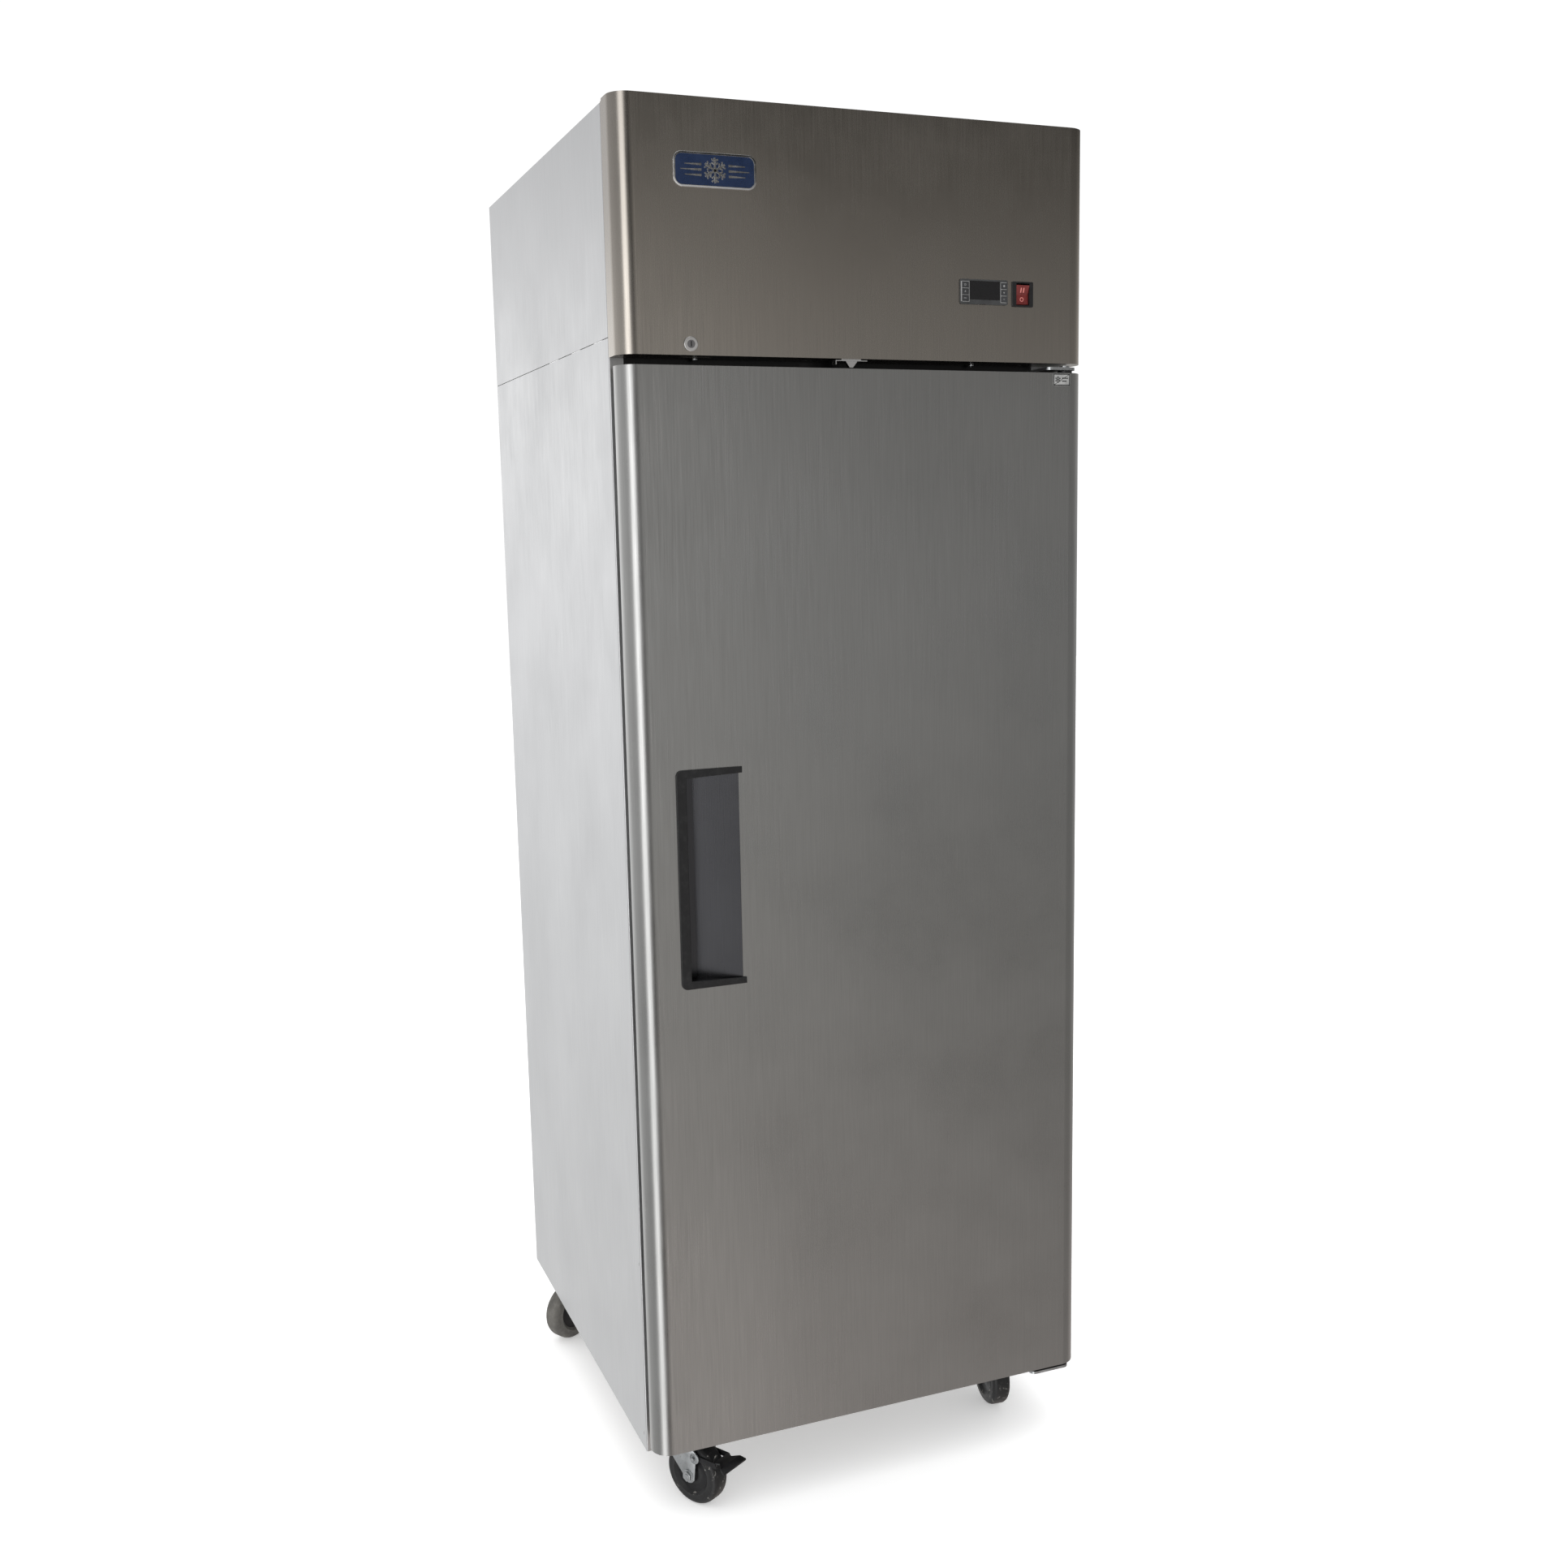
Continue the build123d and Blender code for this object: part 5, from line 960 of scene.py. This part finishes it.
class CABINET_OT_casters(Dress, bpy.types.Operator):
    """Four casters: rubber wheel on a dished hub, folded fork with a nut, flared brake pedal."""

    bl_idname = "cabinet.casters"
    bl_label = "Casters"

    CASTERS = ("front_left", "front_right", "rear_left", "rear_right")
    BRAKED = ("front_left", "front_right")
    WHEEL_R = 50 * MM
    TRAIL = 38 * MM
    AXLE = Vector((TRAIL, 0, WHEEL_R))
    PIVOT = Vector((50, 0, 82)) * MM

    # ---- widths and depths of the wheel's dishing, from the tread to the hub, in mm ----
    DISHING = (
        (6.0, 0.0), (1.2, 0.8), (1.5, -1.4), (3.0, -2.6), (0.8, -0.8), (9.0, 0.0), (2.0, 1.2),
        (4.5, 0.6), (1.2, 3.6), (3.0, 0.4),
    )
    RUBBER_TO = 29.5 * MM
    HUB_R = 9 * MM

    # ---- slanting edges of the fork's legs, in X and Z in mm ----
    SLOPES = (((20, 117), (54, 90)), ((54, 90), (50, 50)), ((26, 50), (-24, 104)))
    LEG = 2.5 * MM
    FOOT_R = 12 * MM

    # ---- round bits on a leg in mm: name, distance along Y, radius, depth, sides, edge ----
    ON_AXLE = (("washer", 22.2, 9.5, 1.4, 36, 0.3), ("nut", 24.6, 8.3, 3.9, 6, 0.7))
    ON_PIVOT = (("pin", 23.4, 3.0, 4.4, 24, 0.5), ("ear", 20.25, 9.0, 2.5, 32, 0.5))

    # ---- bends across the pedal's tread in mm: place in X, half width, drop ----
    BENDS = ((96, 13.5, 0.0), (105, 24.0, -0.6), (114, 27.5, -4.6))
    ARM_Y = (16.4 * MM, 18.6 * MM)

    # ---- each made once about its swivel axis, its wheel trailing along +X ----
    def wheel(self, sizes):
        wheel = start_round("wheel", self.AXLE, self.WHEEL_R, 32 * MM, "Y", sizes.wheel_sides)
        round_rim(wheel, ENDS, sizes.tyre_shoulder, 6)
        steps = [(width * MM, depth * MM) for width, depth in self.DISHING]
        inset(wheel, facing("Y", 0, 0.9999), *steps, use_individual=True)

        def out(c):
            return (Vector((c.x, 0, c.z)) - self.AXLE).length

        paint(
            wheel,
            "wheel_rubber",
            ("black_plastic", lambda c, n: out(c) < self.RUBBER_TO),
            ("galvanised", lambda c, n: out(c) < self.HUB_R),
        )
        return wheel

    def yoke(self):
        """Folded sheet: two tapered legs with round feet under a bridge."""
        low, high = Vector((-24, -21.5, 30)) * MM, Vector((54, 21.5, 117)) * MM
        yoke = start_block("fork", low, high)
        with editing(yoke):
            pick(yoke, lambda c, n: n.z < -SQUARE or abs(n.x) > SQUARE)
            bpy.ops.mesh.delete(type="FACE")
            upper = high.z - 1 * MM
            pick(
                yoke,
                lambda a, b: a.z > upper and b.z > upper and abs(a.x - b.x) > 10 * MM,
                "EDGE",
            )
            bpy.ops.mesh.bevel(offset=4 * MM, segments=4, affect="EDGES")
        for degrees in range(238, 323, 14):
            normal = Vector((cos(radians(degrees)), 0, sin(radians(degrees))))
            trim(yoke, self.AXLE + normal * self.FOOT_R, normal, fill=False)
        for (x0, z0), (x1, z1) in self.SLOPES:
            normal = Vector((z0 - z1, 0, x1 - x0)).normalized()
            if normal.dot(Vector((-x0, 0, 80 - z0))) > 0:
                normal = -normal
            trim(yoke, (x0 * MM, 0, z0 * MM), normal, fill=False)
        modified(yoke, "SOLIDIFY", thickness=self.LEG, offset=-1)
        ease(yoke, 0.5 * MM, 2, radians(50))
        return yoke

    def bit(self, name, place, radius, depth, sides, edge):
        """A round bit along Y with eased edges, its sizes in mm."""
        part = start_round(name, place, radius * MM, depth * MM, "Y", sides)
        ease(part, edge * MM)
        return part

    def fork(self, braked):
        """Folded steel fork, its swivel race, the axle bolt with its nuts and washers."""
        race = start_round("race", (0, 0, 117 * MM), 30 * MM, 6 * MM, "Z", 56)
        inset(race, UNDER, (4 * MM, -2 * MM))
        ease(race, 1.2 * MM, 3)
        parts = [self.yoke(), race, self.bit("bolt", self.AXLE, 4.8, 55.2, 28, 0.7)]
        stacks = [(self.AXLE, self.ON_AXLE)]
        if braked:
            stacks.append((self.PIVOT, self.ON_PIVOT))
        for side in (-1, 1):
            for place, bits in stacks:
                for name, y, *shape in bits:
                    at = place + Vector((0, side * y * MM, 0))
                    parts.append(self.bit(name, at, *shape))
        fork = merge("fork", *parts)
        paint(fork, "galvanised")
        return fork

    def pedal(self):
        """Pressed pedal: two arms within the fork and a necked, flared tread bent down."""
        inner, neck = self.ARM_Y
        tread = start_block("tread", (86 * MM, -neck, 82.6 * MM), (114 * MM, neck, 86 * MM))
        with editing(tread):
            for bend, _, _ in self.BENDS[:2]:
                bpy.ops.mesh.select_all(action="SELECT")
                bpy.ops.mesh.bisect(plane_co=(bend * MM, 0, 0), plane_no=(1, 0, 0))
            for bend, half, drop in self.BENDS:
                pick(tread, lambda p: abs(p.x - bend * MM) < 0.1 * MM, "VERT")
                wider = (1, half * MM / neck, 1)
                bpy.ops.transform.resize(value=wider, center_override=(0, 0, 0))
                bpy.ops.transform.translate(value=(0, 0, drop * MM))
        ease(tread, 0.8 * MM, 3, radians(20))
        parts = [tread]
        for side in (-1, 1):
            first, last = sorted((side * inner, side * neck))
            arm = start_block("arm", (44 * MM, first, 77 * MM), (98 * MM, last, 86 * MM))
            trim(arm, (93 * MM, 0, 77 * MM), Vector((1, 0, 0.5)).normalized())
            ease(arm, 0.7 * MM)
            parts.append(arm)
        pedal = merge("pedal", *parts)
        paint(pedal, "black_plastic")
        return pedal

    def place(self, name):
        """Matrix from the made-once frame to a caster, from its CAD nodes' own places."""
        wheel = middle_of(f"caster_wheel_{name}").xy
        plates = [((low + high) / 2).xy for low, high in islands("caster_plates")]
        swivel = min(plates, key=lambda plate: (plate - wheel).length)
        along = (wheel - swivel).normalized().to_3d()
        turn = Vector((1, 0, 0)).rotation_difference(along).to_matrix().to_4x4()
        return Matrix.Translation(wheel.to_3d() - along * self.TRAIL) @ turn

    def execute(self, context):
        wheel = self.wheel(self.sizes(context))
        forks = {True: self.fork(True), False: self.fork(False)}
        pedal = self.pedal()
        for name in self.CASTERS:
            place = self.place(name)
            copy = twin(wheel, f"wheel_{name}_tyre", place)
            if name == "rear_left":
                copy.data.materials[0] = bpy.data.materials["dusty_rubber"]
            fit(copy, f"wheel_{name}", "wheel_rubber", f"caster_wheel_{name}")
            copy = twin(forks[name in self.BRAKED], f"fork_{name}_yoke", place)
            fit(copy, f"caster_{name}", "galvanised", f"caster_fork_{name}")
            if name in self.BRAKED:
                copy = twin(pedal, f"brake_{name}_tread", place)
                fit(copy, f"brake_{name}", "black_plastic", f"brake_pedal_{name}")
        for master in (wheel, pedal, *forks.values()):
            bpy.data.objects.remove(master)
        return {"FINISHED"}


# ---- Operator: the studio ----------------------------------------------------------------------
class CABINET_OT_studio(Dress, bpy.types.Operator):
    """Pale floor, soft light and the camera."""

    bl_idname = "cabinet.studio"
    bl_label = "Studio"

    PLACE = Vector((-0.9933, -2.5586, 1.4808))
    AZIMUTH = 0.3761
    TILT = 0.1521
    ROLL = -0.02
    SUN_WAY = Vector((0.1, -0.12, -1))

    def camera(self, settings):
        data = bpy.data.cameras.new("camera")
        data.lens = settings.lens
        data.sensor_width = 36.0
        data.clip_end = 100.0
        camera = bpy.data.objects.new("camera", data)
        bpy.context.scene.collection.objects.link(camera)
        level = cos(self.TILT)
        ahead = Vector((sin(self.AZIMUTH) * level, cos(self.AZIMUTH) * level, -sin(self.TILT)))
        right = ahead.cross(Vector((0, 0, 1))).normalized()
        up = right.cross(ahead)
        rolled_right = right * cos(self.ROLL) + up * sin(self.ROLL)
        rolled_up = up * cos(self.ROLL) - right * sin(self.ROLL)
        turn = Matrix((rolled_right, rolled_up, -ahead)).transposed()
        camera.matrix_world = Matrix.Translation(self.PLACE) @ turn.to_4x4()
        bpy.context.scene.camera = camera

    def floor(self, settings):
        bpy.ops.object.select_all(action="DESELECT")
        bpy.ops.mesh.primitive_plane_add(size=2 * settings.floor_half)
        floor = bpy.context.object
        floor.name = "studio_floor"
        glow = {"emission_color": opaque((1.0, 1.0, 1.0)), "emission_strength": 0.35}
        surface = Finish("floor_paint", settings.floor_tone, 0.9, **glow)
        surface.wear(surface.mottled(surface.noise(2.0), 0.98, 1))
        floor.data.materials.append(surface.material)
        floor.visible_glossy = False

    def soft_sun(self, settings):
        data = bpy.data.lights.new("overhead", "SUN")
        data.energy = settings.overhead
        data.angle = settings.softness
        light = bpy.data.objects.new("overhead", data)
        bpy.context.scene.collection.objects.link(light)
        light.rotation_mode = "QUATERNION"
        light.rotation_quaternion = self.SUN_WAY.to_track_quat("-Z", "Y")

    # ---- levels of the room that the sheet metal mirrors, by the sine of the elevation ----
    AHEAD = (
        (-1.0, 0.5, 0.46, 0.44), (-0.5, 0.38, 0.35, 0.335), (-0.27, 0.27, 0.265, 0.255),
        (-0.06, 0.29, 0.29, 0.29), (0.04, 0.37, 0.37, 0.37), (0.11, 0.33, 0.32, 0.31),
        (0.165, 0.25, 0.24, 0.23), (0.21, 0.06, 0.06, 0.055), (0.3, 0.01, 0.01, 0.01),
        (1.0, 0.5, 0.5, 0.5),
    )
    ASIDE = (
        (-1.0, 0.68, 0.68, 0.68), (-0.44, 0.86, 0.86, 0.86), (-0.2, 0.92, 0.925, 0.93),
        (0.0, 1.15, 1.15, 1.16), (0.07, 1.4, 1.4, 1.4), (0.2, 0.68, 0.68, 0.69),
        (0.4, 0.55, 0.55, 0.55), (1.0, 0.6, 0.6, 0.6),
    )
    # ---- how much of each, by the azimuth in degrees from straight ahead towards +X ----
    AHEAD_SHARE = (
        (-180, 0.0), (-32, 0.0), (-20, 0.5), (0, 0.5), (8, 2.5), (15, 2.0), (19, 1.2),
        (26, 0.98), (32, 0.8), (70, 0.8), (110, 1.4), (180, 1.5),
    )
    ASIDE_SHARE = (
        (-180, 1.0), (-150, 1.05), (-135, 0.65), (-75, 0.5), (-63, 0.5), (-54, 2.3),
        (-34, 2.3), (-25, 0.2), (-12, 0.0), (180, 0.0),
    )
    SOFT_LEVEL = 1.2  # lights the matt surfaces
    SEEN_LEVEL = 1.05

    def ramp(self, room, source, stops, reach):
        """Levels or colours spread over -reach to reach."""
        spread = room.remap(source, 0.0, 1.0, -reach, reach)
        ramp = room.node("ShaderNodeValToRGB", {"Fac": spread})
        elements = ramp.color_ramp.elements
        ramp.color_ramp.interpolation = "EASE"
        while len(elements) < len(stops):
            elements.new(0.5)
        for element, (spot, *levels) in zip(elements, stops):
            element.position = (spot / reach + 1) / 2
            element.color = (*(levels * 3)[:3], 1.0)
        return ramp.outputs["Color"]

    def surroundings(self):
        """A white room to the eye; the sheet metal mirrors its own levels ahead and aside."""
        world = bpy.data.worlds.new("studio")
        bpy.context.scene.world = world
        world.use_nodes = True
        room = Nodes(world.node_tree)
        room.tree.nodes.clear()
        place = room.node("ShaderNodeTexCoord").outputs["Generated"]
        parts = room.node("ShaderNodeSeparateXYZ", {"Vector": place}).outputs
        around = room.math("ARCTAN2", parts["X"], room.product(parts["Y"], -1.0))
        azimuth = room.node("ShaderNodeMath", {0: around}, operation="DEGREES").outputs["Value"]
        mirrored = []
        for levels, share in ((self.AHEAD, self.AHEAD_SHARE), (self.ASIDE, self.ASIDE_SHARE)):
            tint = self.ramp(room, parts["Z"], levels, 1)
            amount = self.ramp(room, azimuth, share, 180)
            mirrored.append(room.math("MULTIPLY", tint, amount, kind="ShaderNodeVectorMath"))

        def background(colour):
            return room.node("ShaderNodeBackground", {"Color": colour}).outputs["Background"]

        shader = background(room.math("ADD", *mirrored, kind="ShaderNodeVectorMath"))
        path = room.node("ShaderNodeLightPath").outputs
        for ray, level in (("Diffuse", self.SOFT_LEVEL), ("Camera", self.SEEN_LEVEL)):
            seen = background((level, level, level, 1.0))
            share = path[f"Is {ray} Ray"]
            choice = room.node("ShaderNodeMixShader", {"Fac": share, 1: shader, 2: seen})
            shader = choice.outputs["Shader"]
        room.node("ShaderNodeOutputWorld", {"Surface": shader})

    def execute(self, context):
        settings = context.scene.cabinet_studio
        context.scene.view_settings.view_transform = "Standard"
        self.camera(settings)
        self.floor(settings)
        self.surroundings()
        self.soft_sun(settings)
        return {"FINISHED"}


# ---- Panel and registration -------------------------------------------------------------------
PIECE_OPERATORS = (
    CABINET_OT_finishes,
    CABINET_OT_badge,
    CABINET_OT_door_label,
    CABINET_OT_controller,
    CABINET_OT_rocker,
    CABINET_OT_gasket,
    CABINET_OT_fasteners,
    CABINET_OT_casters,
    CABINET_OT_studio,
)


class CABINET_PT_looks(bpy.types.Panel):
    """Sidebar panel with the settings and one button for each operator."""

    bl_idname = "CABINET_PT_looks"
    bl_label = "Reach-In Cabinet"
    bl_space_type = "VIEW_3D"
    bl_region_type = "UI"
    bl_category = "Cabinet"

    def draw(self, context):
        for group in ("cabinet_tones", "cabinet_sizes", "cabinet_studio"):
            settings = getattr(context.scene, group)
            box = self.layout.box()
            for name in settings.__annotations__:
                box.prop(settings, name)
        for operator in PIECE_OPERATORS:
            self.layout.operator(operator.bl_idname)


GROUPS = {
    "cabinet_tones": CabinetTones,
    "cabinet_sizes": CabinetSizes,
    "cabinet_studio": StudioSettings,
}


def register():
    for group in GROUPS.values():
        bpy.utils.register_class(group)
    for operator in PIECE_OPERATORS:
        bpy.utils.register_class(operator)
    bpy.utils.register_class(CABINET_PT_looks)
    for name, group in GROUPS.items():
        setattr(bpy.types.Scene, name, PointerProperty(type=group))


def unregister():
    for name in GROUPS:
        delattr(bpy.types.Scene, name)
    bpy.utils.unregister_class(CABINET_PT_looks)
    for operator in reversed(PIECE_OPERATORS):
        bpy.utils.unregister_class(operator)
    for group in GROUPS.values():
        bpy.utils.unregister_class(group)


def main():
    register()
    for operator in PIECE_OPERATORS:
        family, action = operator.bl_idname.split(".")
        if getattr(getattr(bpy.ops, family), action)() != {"FINISHED"}:
            raise RuntimeError(f"{operator.bl_label} did not finish")


if __name__ == "__main__":
    main()
